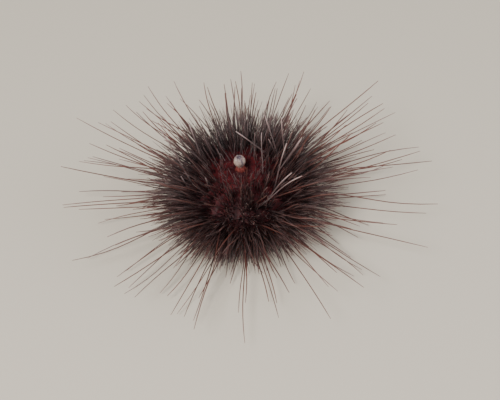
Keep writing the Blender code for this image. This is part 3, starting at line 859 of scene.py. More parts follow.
@dataclass
class SpineRules:
    """How the spines stand, lean and bend, by their place down the test from 0 to 1."""

    spacing: float = 0.00150
    row_margin: float = 0.0009
    border: float = 0.00072
    seed: int = 11
    seeds_a_sector: int = 1000
    seeds_a_layer: int = 100000
    long_lengths: Table = (
        (0.0, 0.0070), (0.12, 0.0150), (0.3, 0.0240), (0.5, 0.0315), (0.62, 0.0275),
        (0.78, 0.0110),
    )
    short_lengths: Table = (
        (0.0, 0.0038), (0.2, 0.0070), (0.5, 0.0108), (0.65, 0.0090), (0.8, 0.0050),
    )
    slopes: Table = (
        (0.0, 76), (0.12, 63), (0.26, 48), (0.4, 26), (0.5, 9), (0.57, 0), (0.7, -17),
        (0.8, -42), (1.0, -66),
    )
    length_spread: float = 0.12
    aim_spread: float = 0.11
    bow: float = 0.05
    series_share: float = 0.6
    inner_series_share: float = 0.24
    inner_series: tuple[float, float] = (0.25, 0.70)
    naked_to: float = 0.35
    naked_share: float = 0.3
    flank_from: float = 0.5
    stilts_from: float = 0.8
    stilt_slope: float = math.radians(-35)
    floor_clearance: float = 0.0012
    far_side_share: float = 0.4
    near_side_share: float = 0.08
    tone_power: float = 2.1
    girth_range: tuple[float, float] = (0.85, 1.15)
    fine_from: int = 4
    fine_share: float = 0.55
    fine_stilt_share: float = 0.5
    fine_lengths: tuple[float, float] = (0.22, 0.62)
    medium_share: float = 0.65
    medium_lengths: tuple[float, float] = (0.45, 0.95)
    short_spread: tuple[float, float] = (0.66, 1.18)
    scatter: Table = ((0.0, 1.5), (0.3, 1.25), (0.6, 1.1), (1.0, 1.0))
    crown_reach: Table = ((0.0, 1.55), (0.25, 1.2), (0.45, 1.0))
    near_lift: Table = ((0.0, 0.0), (0.15, 16.0), (0.5, 16.0), (0.75, 0.0))
    crown_lean: float = 0.30
    cover: Table = ((0.0, 0.5), (0.15, 0.7), (0.35, 1.0), (1.0, 1.0))
    short_side_share: float = 0.35
    stilt_lift: float = 0.00014
    boss_sink: float = 0.00002
    boss_sizes: tuple[float, float] = (0.00026, 0.00040)
    crown_count: int = 54
    crown_stray: float = 0.4
    crown_places: tuple[float, float] = (0.70, 0.97)
    crown_lengths: tuple[float, float] = (0.0022, 0.0055)
    crown_girths: tuple[float, float] = (0.9, 1.3)
    # How far up a spine the painted shade at its root reaches, by its place down the test; longest
    # on the upper flanks, which darkens the core of the coat
    root_shade_reaches: Table = (
        (0.0, 0.0009), (0.12, 0.0028), (0.32, 0.0046), (0.48, 0.0026), (1.0, 0.0026),
    )


@dataclass(frozen=True)
class SpineForm:
    """How thick a kind of spine is, how it ends and how finely it is cut."""

    girth: float
    tip: float
    pale: float
    tone: float
    stations: int
    sides: int


SPINE_FORMS = {
    Kind.PRIMARY: SpineForm(0.000152, 0.60, 0.25, 0.6, 13, 6),
    Kind.SECONDARY: SpineForm(0.000093, 0.58, 0.2, 0.7, 10, 5),
    Kind.MILIARY: SpineForm(0.000072, 0.58, 0.25, 0.42, 7, 4),
    Kind.STILT: SpineForm(0.000170, 0.75, 0.6, 0.4, 8, 6),
    # Posed spines are light and pale at the tip partly for their own pale tips, partly as painted
    # light on the near spines, which catch the most light
    Kind.POSED: SpineForm(0.000178, 0.72, 0.85, 1.0, 18, 8),
    Kind.SWEPT: SpineForm(0.000150, 0.58, 0.25, 0.2, 16, 6),
}


class Placing(NamedTuple):
    """Spines placed one by one: the range of their tones, and a row for each.

    A row gives the root and the tip, right and up of the bulb as the view shows them, and
    the length, all in millimetres.
    """

    tones: tuple[float, float]
    rows: tuple[tuple[float, float, float, float, float], ...]


# The posed spines: their light tones and pale ends are partly painted light, where the light falls
# strongest on the near side
PALE_ROWS = (
    (4.8, -11.2, 12.3, -3.2, 17.5),
    (4.1, -11.4, 14.7, -4.0, 20.0),
    (7.8, -7.7, 11.1, 3.7, 18.0),
    (8.5, 1.2, 6.8, 5.0, 10.5),
    (4.1, -2.8, 5.2, 6.4, 13.0),
    (8.5, -3.3, 14.6, 5.2, 16.0),
    (7.1, 1.5, -0.8, 6.8, 13.0),
    (-9.7, -7.0, -18.3, 6.8, 22.0),
    (-11.3, -7.5, -13.6, -3.7, 9.0),
    (10.6, -0.9, 9.8, 10.0, 16.0),
    (9.4, 0.0, 5.9, 10.6, 16.0),
    (-8.4, -0.8, -11.8, 8.5, 14.0),
    (-7.0, -7.1, -7.9, -4.2, 10.0),
    (9.6, -1.8, 14.0, 4.2, 13.0),
)
SWEPT_ROWS = (
    (-4.5, 3.0, -21.8, 12.4, 20.0),
    (-3.0, 3.6, -13.9, 14.7, 16.0),
    (-6.5, 1.8, -20.5, 9.5, 17.0),
    (-8.5, -2.0, -33.0, 9.0, 27.5),
    (-9.5, -3.5, -38.0, 10.0, 32.2),
    (-9.8, -5.5, -35.0, 4.0, 28.0),
    (-7.5, 0.5, -21.4, 17.5, 23.0),
    (-7.9, -0.5, -26.5, 13.0, 24.0),
    (-5.6, 2.2, -17.0, 13.6, 17.0),
)
PLACED_SPINES = {
    Kind.POSED: Placing((0.75, 1.0), PALE_ROWS),
    Kind.SWEPT: Placing((0.0, 0.2), SWEPT_ROWS),
}
# How the placed spines bow, and how thick and pale they are; the posed ones' pale ends are partly
# painted light
PLACED_BOW = 0.12
PLACED_GIRTHS = (0.9, 1.1)
PLACED_PALES = (0.7, 1.0)


@dataclass
class Sector:
    """One sector of the test, with its number round the body."""

    owner: int
    name: str
    centre: float
    half: float
    is_wide: bool


def list_sectors() -> list[Sector]:
    """The ambulacra and interambulacra, in turn round the test.

    Returns:
        The ten sectors.
    """
    wide_half = RAY_STEP / 2 - NARROW_HALF
    sectors = []
    for i in range(RAYS):
        narrow = FIRST_RAY + i * RAY_STEP
        wide = narrow + RAY_STEP / 2
        sectors.append(Sector(2 * i, f"ambulacrum_{i + 1}", narrow, NARROW_HALF, False))
        sectors.append(Sector(2 * i + 1, f"interambulacrum_{i + 1}", wide, wide_half, True))
    return sectors


@dataclass
class GrowthTree:
    """The node tree that grows spines, feet and gills from points on the test.

    Each point carries its sprout's values as attributes, and its random sway.
    """

    patch: float = PATCH
    crowding: float = 1.5
    collar_fade: float = -0.35
    sucker_starts: tuple[float, float] = (0.86, 0.97)
    rounds: tuple[float, float] = (0.985, 1.0)
    rounded_to: float = 0.62
    graph: Graph = field(init=False)
    given: Any = field(init=False)

    def __post_init__(self) -> None:
        """Starts the tree with its named inputs."""
        inputs = {
            "Geometry": "Geometry",
            "Stations": 12,
            "Sides": 6,
            "Sink": 0.0005,
            "Collar": 0.5,
            "Collar Height": 0.0005,
            "Sucker": 0.0,
            "Sway": 0.01,
            "Seed": 3,
            "Material": "Material",
        }
        self.graph, self.given = new_group("grow_spines", "GeometryNodeTree", inputs, "Geometry")

    def build(self) -> NodeTree:
        """Fills the tree.

        Returns:
            The tree, with named inputs for its sizes.
        """
        graph, given = self.graph, self.given
        points = graph.keep(given["Geometry"], "sway", "FLOAT_VECTOR", "POINT", self.random_sway())
        line = graph.out("GeometryNodeCurvePrimitiveLine", {"End": (0.0, 0.0, 1.0)})
        cut = graph.out("GeometryNodeResampleCurve", {"Curve": line, "Count": given["Stations"]})
        placed = graph.out("GeometryNodeInstanceOnPoints", {"Points": points, "Instance": cut})
        lines = graph.out("GeometryNodeRealizeInstances", {0: placed})
        share = graph.add("GeometryNodeSplineParameter").outputs["Factor"]
        along = graph.math("POWER", share, self.crowding)
        lines = graph.keep(lines, "along", "FLOAT", "POINT", along)
        bent = graph.out("GeometryNodeSetPosition", {0: lines, "Position": self.path()})
        feeds = {"Resolution": given["Sides"], "Radius": 1.0}
        circle = graph.out("GeometryNodeCurvePrimitiveCircle", feeds)
        turn = graph.add("GeometryNodeSplineParameter").outputs["Factor"]
        ring = graph.keep(circle, "around", "FLOAT", "POINT", turn)
        feeds = {"Curve": bent, "Profile Curve": ring, "Scale": self.girth(), "Fill Caps": True}
        rods = graph.out("GeometryNodeCurveToMesh", feeds)
        rods = graph.keep(rods, BAKE_MAP, "FLOAT2", "CORNER", self.unwrap())
        # How far out each point is, in units of the painted root shade's reach
        rods = graph.keep(rods, "rise", "FLOAT", "POINT", self.rise(graph.read("shade")))
        # How far out each point is, in millimetres, which sets the painted glow through the outer
        # ends
        rods = graph.keep(rods, "out", "FLOAT", "POINT", self.rise(1 / MM_A_METRE))
        rods = graph.out("GeometryNodeSetShadeSmooth", {0: rods})
        real = graph.out("GeometryNodeRealizeInstances", {0: rods})
        dressed = graph.out("GeometryNodeSetMaterial", {0: real, "Material": given["Material"]})
        graph.add("NodeGroupOutput", {0: dressed})
        return graph.tree

    def random_sway(self) -> Any:
        """A random direction and strength for each rod's second, slighter bend."""
        feeds = {0: (-1.0, -1.0, -1.0), 1: (1.0, 1.0, 1.0), "Seed": self.given["Seed"]}
        way = self.graph.out("FunctionNodeRandomValue", feeds, data_type="FLOAT_VECTOR")
        return self.graph.scaled(way, self.given["Sway"])

    def reach(self) -> tuple[Any, Any]:
        """From a rod's root straight to its tip, and how long that is."""
        reach = self.graph.read("reach", "FLOAT_VECTOR")
        length = self.graph.add("ShaderNodeVectorMath", {0: reach}, operation="LENGTH")
        return reach, length.outputs["Value"]

    def path(self) -> Any:
        """Where a point of a rod lies: along its reach, bent, and sunk at its root.

        Returns:
            The position.
        """
        graph = self.graph
        along = graph.read("along")
        reach, length = self.reach()
        sunk = graph.math("DIVIDE", self.given["Sink"], length)
        stretched = graph.math("MULTIPLY", along, graph.math("ADD", sunk, 1.0))
        share = graph.math("SUBTRACT", stretched, sunk)
        squared = graph.math("MULTIPLY", share, share)
        wave = graph.math("SINE", graph.math("MULTIPLY", along, math.tau))
        swung = graph.math("MULTIPLY", wave, length)
        return graph.summed(
            graph.read("start", "FLOAT_VECTOR"),
            graph.scaled(reach, share),
            graph.scaled(graph.read("bend", "FLOAT_VECTOR"), squared),
            graph.scaled(graph.read("sway", "FLOAT_VECTOR"), swung),
        )

    def rise(self, unit: Any) -> Any:
        """How far out along a rod each point is, as a multiple of a length."""
        _, length = self.reach()
        far = self.graph.math("MULTIPLY", self.graph.read("along"), length)
        return self.graph.math("DIVIDE", far, unit)

    def girth(self) -> Any:
        """How thick a rod is: tapered, with a collar near its root, and blunt or flared.

        Returns:
            The radius at each point.
        """
        graph, given = self.graph, self.given
        along = graph.read("along")
        lost = graph.math("SUBTRACT", 1.0, graph.read("tip"))
        taper = graph.math("SUBTRACT", 1.0, graph.math("MULTIPLY", along, lost))
        rise = self.rise(given["Collar Height"])
        squared = graph.math("MULTIPLY", rise, rise)
        fade = graph.math("EXPONENT", graph.math("MULTIPLY", squared, self.collar_fade))
        collar = graph.math("MULTIPLY_ADD", fade, given["Collar"], 1.0)
        end = graph.ranged(along, *self.sucker_starts)
        sucker = graph.math("MULTIPLY_ADD", end, given["Sucker"], 1.0)
        rounded = graph.ranged(along, *self.rounds, 1.0, self.rounded_to)
        girth = taper
        for factor in (collar, sucker, rounded, graph.read("girth")):
            girth = graph.math("MULTIPLY", girth, factor)
        return girth

    def unwrap(self) -> Any:
        """The place of a rod on the bake map: a small patch where it roots."""
        graph = self.graph
        feeds = {0: graph.read("around"), 1: graph.read("along")}
        own = graph.out("ShaderNodeCombineXYZ", feeds)
        return graph.summed(graph.read("place", "FLOAT_VECTOR"), graph.scaled(own, self.patch))


@dataclass
class BossTree:
    """The node tree that sets a boss and its knob under each spine."""

    sides: int = 8
    cone_rings: int = 2
    knob_rings: int = 4
    boss_height: float = 0.7
    boss_top: float = 0.5
    knob: float = 0.42

    def build(self) -> NodeTree:
        """Builds the tree.

        Returns:
            The tree, with named inputs for its sizes.
        """
        inputs = {
            "Geometry": "Geometry",
            "Height": self.boss_height,
            "Top": self.boss_top,
            "Knob": self.knob,
            "Material": "Material",
        }
        graph, given = new_group("set_bosses", "GeometryNodeTree", inputs, "Geometry")
        feeds = {
            "Vertices": self.sides,
            "Side Segments": self.cone_rings,
            "Radius Top": given["Top"],
            "Radius Bottom": 1.0,
            "Depth": given["Height"],
        }
        cone = graph.out("GeometryNodeMeshCone", feeds)
        feeds = {"Segments": self.sides, "Rings": self.knob_rings, "Radius": given["Knob"]}
        ball = graph.out("GeometryNodeMeshUVSphere", feeds)
        raised = graph.out("ShaderNodeCombineXYZ", {2: given["Height"]})
        moved = graph.out("GeometryNodeTransform", {"Geometry": ball, "Translation": raised})
        both = graph.add("GeometryNodeJoinGeometry", {0: cone})
        graph.tree.links.new(moved, both.inputs[0])
        feeds = {"Vector": graph.read("normal", "FLOAT_VECTOR")}
        turned = graph.out("FunctionNodeAlignRotationToVector", feeds, axis="Z")
        feeds = {
            "Points": given["Geometry"],
            "Instance": both.outputs[0],
            "Rotation": turned,
            "Scale": graph.read("size"),
        }
        placed = graph.out("GeometryNodeInstanceOnPoints", feeds)
        real = graph.out("GeometryNodeRealizeInstances", {0: placed})
        smoothed = graph.out("GeometryNodeSetShadeSmooth", {0: real})
        feeds = {0: smoothed, "Material": given["Material"]}
        graph.add("NodeGroupOutput", {0: graph.out("GeometryNodeSetMaterial", feeds)})
        return graph.tree


@dataclass
class Growth:
    """One piece of grown rods: its sprouts and how the tree makes them solid."""

    tree: NodeTree
    sprouts: list[Sprout]
    stations: int
    sides: int
    collar: float = 0.5
    collar_height: float = 0.0005
    sink: float = 0.0005
    sucker: float = 0.0
    sway: float = 0.012
    seed: int = 3

    def build(self, name: str, material: Material) -> Object:
        """Grows the rods.

        Args:
            name: the piece's name.
            material: what they are dressed in.

        Returns:
            The piece, as a plain mesh.
        """
        mesh = bpy.data.meshes.new(name)
        mesh.from_pydata([sprout.start for sprout in self.sprouts], [], [])
        keep_values(mesh, "place", [(*sprout.place, 0.0) for sprout in self.sprouts])
        for label in ("start", "reach", "bend", "girth", "tip", "pale", "tone", "shade"):
            keep_values(mesh, label, [getattr(sprout, label) for sprout in self.sprouts])
        sizes = ("stations", "sides", "sink", "collar", "collar_height", "sucker", "sway", "seed")
        values = {size.replace("_", " ").title(): getattr(self, size) for size in sizes}
        values["Material"] = material
        obj = grown_mesh(linked(name, mesh), self.tree, values)
        for label in ("start", "reach", "bend", "place", "girth", "tip", "shade", "sway"):
            obj.data.attributes.remove(obj.data.attributes[label])
        return obj


@dataclass
class Coat:
    """All the spines of the body, sector by sector."""

    test: TestShape
    view: View
    rules: SpineRules
    sectors: list[Sector]

    def roots(self, sector: Sector, layer: Layer) -> Iterator[tuple[int, Root]]:
        """The places where one layer of spines roots in a sector.

        Args:
            sector: the sector.
            layer: which layer of the coat.

        Yields:
            The number and place of each root.
        """
        rules = self.rules
        down, aside = layer.value
        run = self.test.length - 2 * rules.row_margin
        rows = int(run / rules.spacing) + 1
        number = 0
        for row in range(rows):
            arc = rules.row_margin + (row + down) * (run / (rows - 1))
            fraction = arc / self.test.length
            if fraction >= 1:
                continue
            radius, room = self.test.room_at(arc, sector.half, rules.border)
            side = 1 if row % 2 else -1
            series = [side * rules.series_share * room]
            if sector.is_wide and rules.inner_series[0] < fraction < rules.inner_series[1]:
                series.append(-side * rules.inner_series_share * room)
            columns = int(2 * room / rules.spacing) + 1
            for column in range(columns):
                offset = (column + aside - (columns - 1) / 2) * rules.spacing
                if abs(offset) > room + rules.border / 2:
                    continue
                naked = self.naked_half(sector, layer) * room
                if fraction < rules.naked_to and abs(offset) < naked:
                    continue
                is_long = any(abs(offset - place) <= rules.spacing / 2 for place in series)
                turn = math.asin(offset / radius)
                lead = 0.0
                if offset and room:
                    lead = turn * (sector.half / math.asin(room / radius) - 1)
                yield number, Root(arc, sector.centre + turn, lead, is_long)
                number += 1

    def naked_half(self, sector: Sector, layer: Layer) -> float:
        """How much of a sector's half stays bare near the crown: less of it on the far side."""
        if not sector.is_wide:
            return 0.0
        far = 0.0 if layer is Layer.MAIN else max(math.sin(sector.centre), 0.0) ** 2
        return self.rules.naked_share * (1 - far)

    def side_share(self, azimuth: float) -> float:
        """How long spines are for their side of the body: the far side has the shortest."""
        away = math.sin(azimuth)
        far = self.rules.far_side_share * max(away, 0.0) ** 2
        return 1 - far - self.rules.near_side_share * max(-away, 0.0) ** 2

    def near_lift(self, root: Root) -> float:
        """How much steeper the added spines stand on the side that faces the viewer."""
        near = max(-math.sin(root.azimuth), 0.0) ** 2
        return near * math.radians(read_table(self.rules.near_lift, root.arc / self.test.length))

    def grow(self, root: Root, draw: random.Random, kind: Kind, habit: Habit) -> Sprout:
        """Grows one spine by the same rules as the solids' spines.

        Args:
            root: where it roots.
            draw: the source of its variation.
            kind: what kind of spine it is.
            habit: how it differs from what the rules give.

        Returns:
            The spine.
        """
        rules = self.rules
        fraction = root.arc / self.test.length
        base, _ = self.test.on_test(root.arc, root.azimuth)
        stray = rules.aim_spread * habit.scatter
        azimuth = root.azimuth + root.lead + draw.gauss(0, stray)
        slope = math.radians(read_table(rules.slopes, fraction))
        slope = slope + draw.gauss(0, stray) + habit.lift
        length = self.length_of(root, azimuth) * habit.share
        length *= draw.uniform(1 - rules.length_spread, 1 + rules.length_spread)
        drop = base.z - rules.floor_clearance
        if fraction >= rules.stilts_from:
            slope = min(slope, rules.stilt_slope)
            length = (base.z - rules.stilt_lift) / math.sin(-slope) * min(habit.share, 1.0)
        elif fraction > rules.flank_from and math.sin(-slope) * length > drop:
            slope = -math.asin(drop / length)
        turn = Matrix.Rotation(azimuth, 3, "Z")
        aim = turn @ Vector((math.cos(slope), 0, math.sin(slope)))
        level = turn @ Vector((0, 1, 0))
        bow = level * draw.gauss(0, rules.bow)
        if fraction < rules.flank_from:
            bow += level.cross(aim) * draw.gauss(0, rules.bow)
        form = SPINE_FORMS[kind]
        return Sprout(
            start=base,
            reach=aim * length,
            bend=bow * length,
            girth=form.girth * draw.uniform(*rules.girth_range),
            tip=form.tip,
            pale=form.pale * draw.random(),
            tone=form.tone * draw.random() ** rules.tone_power,
            shade=read_table(rules.root_shade_reaches, fraction),
            place=self.test.spot_of(root.arc, root.azimuth),
        )

    def length_of(self, root: Root, azimuth: float) -> float:
        """How long the rules make a spine, before its own variation.

        Args:
            root: where it roots.
            azimuth: the direction that it leaves in.

        Returns:
            Its length.
        """
        rules = self.rules
        table = rules.long_lengths if root.is_long else rules.short_lengths
        side = self.side_share(azimuth)
        if not root.is_long:
            side = 1 - (1 - side) * rules.short_side_share
        return read_table(table, root.arc / self.test.length) * side

    def layer_spines(self, sector: Sector, layer: Layer) -> Iterator[tuple[Kind, Sprout]]:
        """The spines of one layer in a sector.

        Args:
            sector: the sector.
            layer: which layer of the coat.

        Yields:
            The kind and shape of each spine.
        """
        rules = self.rules
        order = list(Layer).index(layer)
        for number, root in self.roots(sector, layer):
            seed = rules.seed + sector.owner * rules.seeds_a_sector + number
            draw = random.Random(seed + order * rules.seeds_a_layer)
            fraction = root.arc / self.test.length
            if order and draw.random() > read_table(rules.cover, fraction):
                continue
            is_fine = order >= rules.fine_from and draw.random() < rules.fine_share
            habit = Habit()
            if order:
                can_be_long = layer in (Layer.BETWEEN_ROWS, Layer.BESIDE) and root.is_long
                is_medium = can_be_long and draw.random() < rules.medium_share
                root = root._replace(is_long=is_medium)
                if is_medium:
                    share = draw.uniform(*rules.medium_lengths)
                else:
                    share = draw.uniform(*rules.short_spread)
                    share *= read_table(rules.crown_reach, fraction)
                habit = Habit(share, read_table(rules.scatter, fraction), self.near_lift(root))
            if is_fine:
                habit = habit._replace(share=draw.uniform(*rules.fine_lengths))
            kind = Kind.PRIMARY if root.is_long else Kind.SECONDARY
            if fraction >= rules.stilts_from:
                kind = Kind.STILT
                habit = habit._replace(share=rules.fine_stilt_share if is_fine else 1.0)
            if is_fine:
                kind = Kind.MILIARY
            yield kind, self.grow(root, draw, kind, habit)

    def crown_spines(self) -> Iterator[Sprout]:
        """The few fine, upright spines on the plates of the crown.

        Yields:
            Each spine.
        """
        rules = self.rules
        draw = random.Random(rules.seed)
        form = SPINE_FORMS[Kind.MILIARY]
        for number in range(rules.crown_count):
            stray = draw.uniform(-rules.crown_stray, rules.crown_stray)
            azimuth = math.tau * (number + stray) / rules.crown_count
            radius = self.test.crown_radius * draw.uniform(*rules.crown_places)
            angle = self.test.angle_at(radius, self.test.upper_power)
            out, height, normal = self.test.meridian(angle)
            turn = Matrix.Rotation(azimuth, 3, "Z")
            lean = Vector((draw.gauss(0, 1), draw.gauss(0, 1), 0)) * rules.crown_lean
            aim = (turn @ normal + lean).normalized()
            length = draw.uniform(*rules.crown_lengths)
            yield Sprout(
                start=turn @ Vector((out, 0, height)),
                reach=aim * length,
                bend=aim.orthogonal() * draw.gauss(0, rules.bow) * length,
                girth=form.girth * draw.uniform(*rules.crown_girths),
                tip=form.tip,
                pale=form.pale,
                tone=draw.random(),
                shade=read_table(rules.root_shade_reaches, 0),
                place=self.test.spot_of(radius - self.test.crown_radius, azimuth),
            )

    def placed(self, kind: Kind) -> Iterator[tuple[int, Sprout]]:
        """The placed spines of a kind, each with its tip where the view shows it.

        Args:
            kind: the pale posed ones, or the long ones swept to the left.

        Yields:
            The number of the sector it roots in, and the spine.
        """
        form = SPINE_FORMS[kind]
        placing = PLACED_SPINES[kind]
        for number, row in enumerate(placing.rows):
            root_right, root_up, tip_right, tip_up, length = (size / MM_A_METRE for size in row)
            towards = self.depth_of(root_right, root_up)
            seen = self.view.seen_at(root_right, root_up, towards)
            radius = math.hypot(seen.x, seen.y)
            owner, azimuth = self.sector_at(math.atan2(seen.y, seen.x), radius)
            angle = self.test.angle_at(radius, self.test.upper_power)
            arc = float(np.interp(-angle, -self.test.angles, self.test.arcs))
            base, normal = self.test.on_test(arc, azimuth)
            across = math.hypot(tip_right - root_right, tip_up - root_up)
            rise = math.sqrt(length**2 - across**2)
            reach = self.view.seen_at(tip_right, tip_up, towards + rise) - base
            bow = reach.cross(normal) * PLACED_BOW
            draw = random.Random(number)
            yield owner, Sprout(
                start=base,
                reach=reach - bow,
                bend=bow,
                girth=form.girth * draw.uniform(*PLACED_GIRTHS),
                tip=form.tip,
                pale=form.pale * draw.uniform(*PLACED_PALES),
                tone=draw.uniform(*placing.tones),
                shade=read_table(self.rules.root_shade_reaches, arc / self.test.length),
                place=self.test.spot_of(arc, azimuth),
            )

    def depth_of(self, across: float, rise: float) -> float:
        """How far towards the viewer the test lies, at a place right and up of the bulb."""
        steps = np.linspace(2 * self.test.radius, -2 * self.test.radius, self.test.steps)
        points = ((step, self.view.seen_at(across, rise, step)) for step in steps)
        return next(step for step, point in points if self.test.height_over(point) < 0)

    def sector_at(self, azimuth: float, radius: float) -> tuple[int, float]:
        """The sector that holds a place, and the place kept off the sector's borders.

        Args:
            azimuth: the place's azimuth.
            radius: how far from the axis it is.

        Returns:
            The sector's number, and the azimuth.
        """
        turns = [math.remainder(azimuth - sector.centre, math.tau) for sector in self.sectors]
        owner = min(range(len(turns)), key=lambda i: abs(turns[i]) - self.sectors[i].half)
        sector = self.sectors[owner]
        widest = math.asin(max(math.sin(sector.half) - self.rules.border / radius, 0.0))
        return owner, sector.centre + min(max(turns[owner], -widest), widest)

    def build(self, tree: NodeTree, material: Material) -> list[Object]:
        """Grows the coat.

        Args:
            tree: the tree that grows rods.
            material: the spines' material.

        Returns:
            One piece of spines for each sector.
        """
        by_eye = {kind: list(self.placed(kind)) for kind in PLACED_SPINES}
        pieces = []
        for sector in self.sectors:
            grown: dict[Kind, list[Sprout]] = {kind: [] for kind in Kind}
            for layer in Layer:
                for kind, sprout in self.layer_spines(sector, layer):
                    grown[kind].append(sprout)
            for kind, placed in by_eye.items():
                grown[kind] = [sprout for owner, sprout in placed if owner == sector.owner]
            made = []
            for kind, sprouts in grown.items():
                if not sprouts:
                    continue
                form = SPINE_FORMS[kind]
                growth = Growth(tree, sprouts, form.stations, form.sides, seed=sector.owner)
                made.append(growth.build(f"{kind.value}_{sector.name}", material))
            pieces.append(joined(made, f"spines_{sector.name}"))
        return pieces

    def build_bosses(self, tree: NodeTree, is_wide: bool, material: Material) -> Object:
        """Sets a boss under each of the main spines.

        Args:
            tree: the tree that sets bosses.
            is_wide: whether the interambulacra get theirs, or the ambulacra.
            material: the bosses' material.

        Returns:
            The piece.
        """
        points, normals, sizes, places = [], [], [], []
        for sector in self.sectors:
            if sector.is_wide != is_wide:
                continue
            for layer in (Layer.MAIN, Layer.BETWEEN_ROWS):
                for _, root in self.roots(sector, layer):
                    base, normal = self.test.on_test(root.arc, root.azimuth)
                    is_big = root.is_long and layer is Layer.MAIN
                    points.append(base - normal * self.rules.boss_sink)
                    normals.append(normal)
                    sizes.append(self.rules.boss_sizes[is_big])
                    places.append(self.test.spot_of(root.arc, root.azimuth))
        name = "bosses_wide" if is_wide else "bosses_narrow"
        mesh = bpy.data.meshes.new(name)
        mesh.from_pydata(points, [], [])
        keep_values(mesh, "normal", normals)
        keep_values(mesh, "size", sizes)
        obj = grown_mesh(linked(name, mesh), tree, {"Material": material})
        self.unwrap_repeats(obj.data, places)
        return obj

    def unwrap_repeats(self, mesh: Mesh, places: list[tuple[float, float]]) -> None:
        """Gives each repeated shape its own small patch of the bake map, at its root's place.

        Args:
            mesh: a mesh of equal shapes, one after another.
            places: the place of each on the bake map.
        """
        flat = np.empty(len(mesh.vertices) * 3, np.float32)
        mesh.vertices.foreach_get("co", flat)
        shapes = flat.reshape(len(places), -1, 3)
        local = shapes - shapes.mean(axis=1, keepdims=True)
        across = local[:, :, :2] / np.abs(local[:, :, :2]).max()
        spots = np.array(places)[:, None, :] + across * PATCH / 2
        set_unwrap(mesh, spots.reshape(-1, 2))

    def build_crown(self, tree: NodeTree, material: Material) -> Object:
        """Grows the crown's own spines, as one piece."""
        form = SPINE_FORMS[Kind.MILIARY]
        growth = Growth(tree, list(self.crown_spines()), form.stations, form.sides)
        return growth.build("spines_crown", material)


def joined(objects: list[Object], name: str) -> Object:
    """Joins objects into one.

    Args:
        objects: what is joined.
        name: the name of the result.

    Returns:
        The joined object.
    """
    with bpy.context.temp_override(active_object=objects[0], selected_editable_objects=objects):
        bpy.ops.object.join()
    objects[0].name = name
    objects[0].data.name = name
    return objects[0]


class Groove(NamedTuple):
    """A groove in the skin: its width, its depth and how dark its painted shade is."""

    width: float
    depth: float
    shade: float


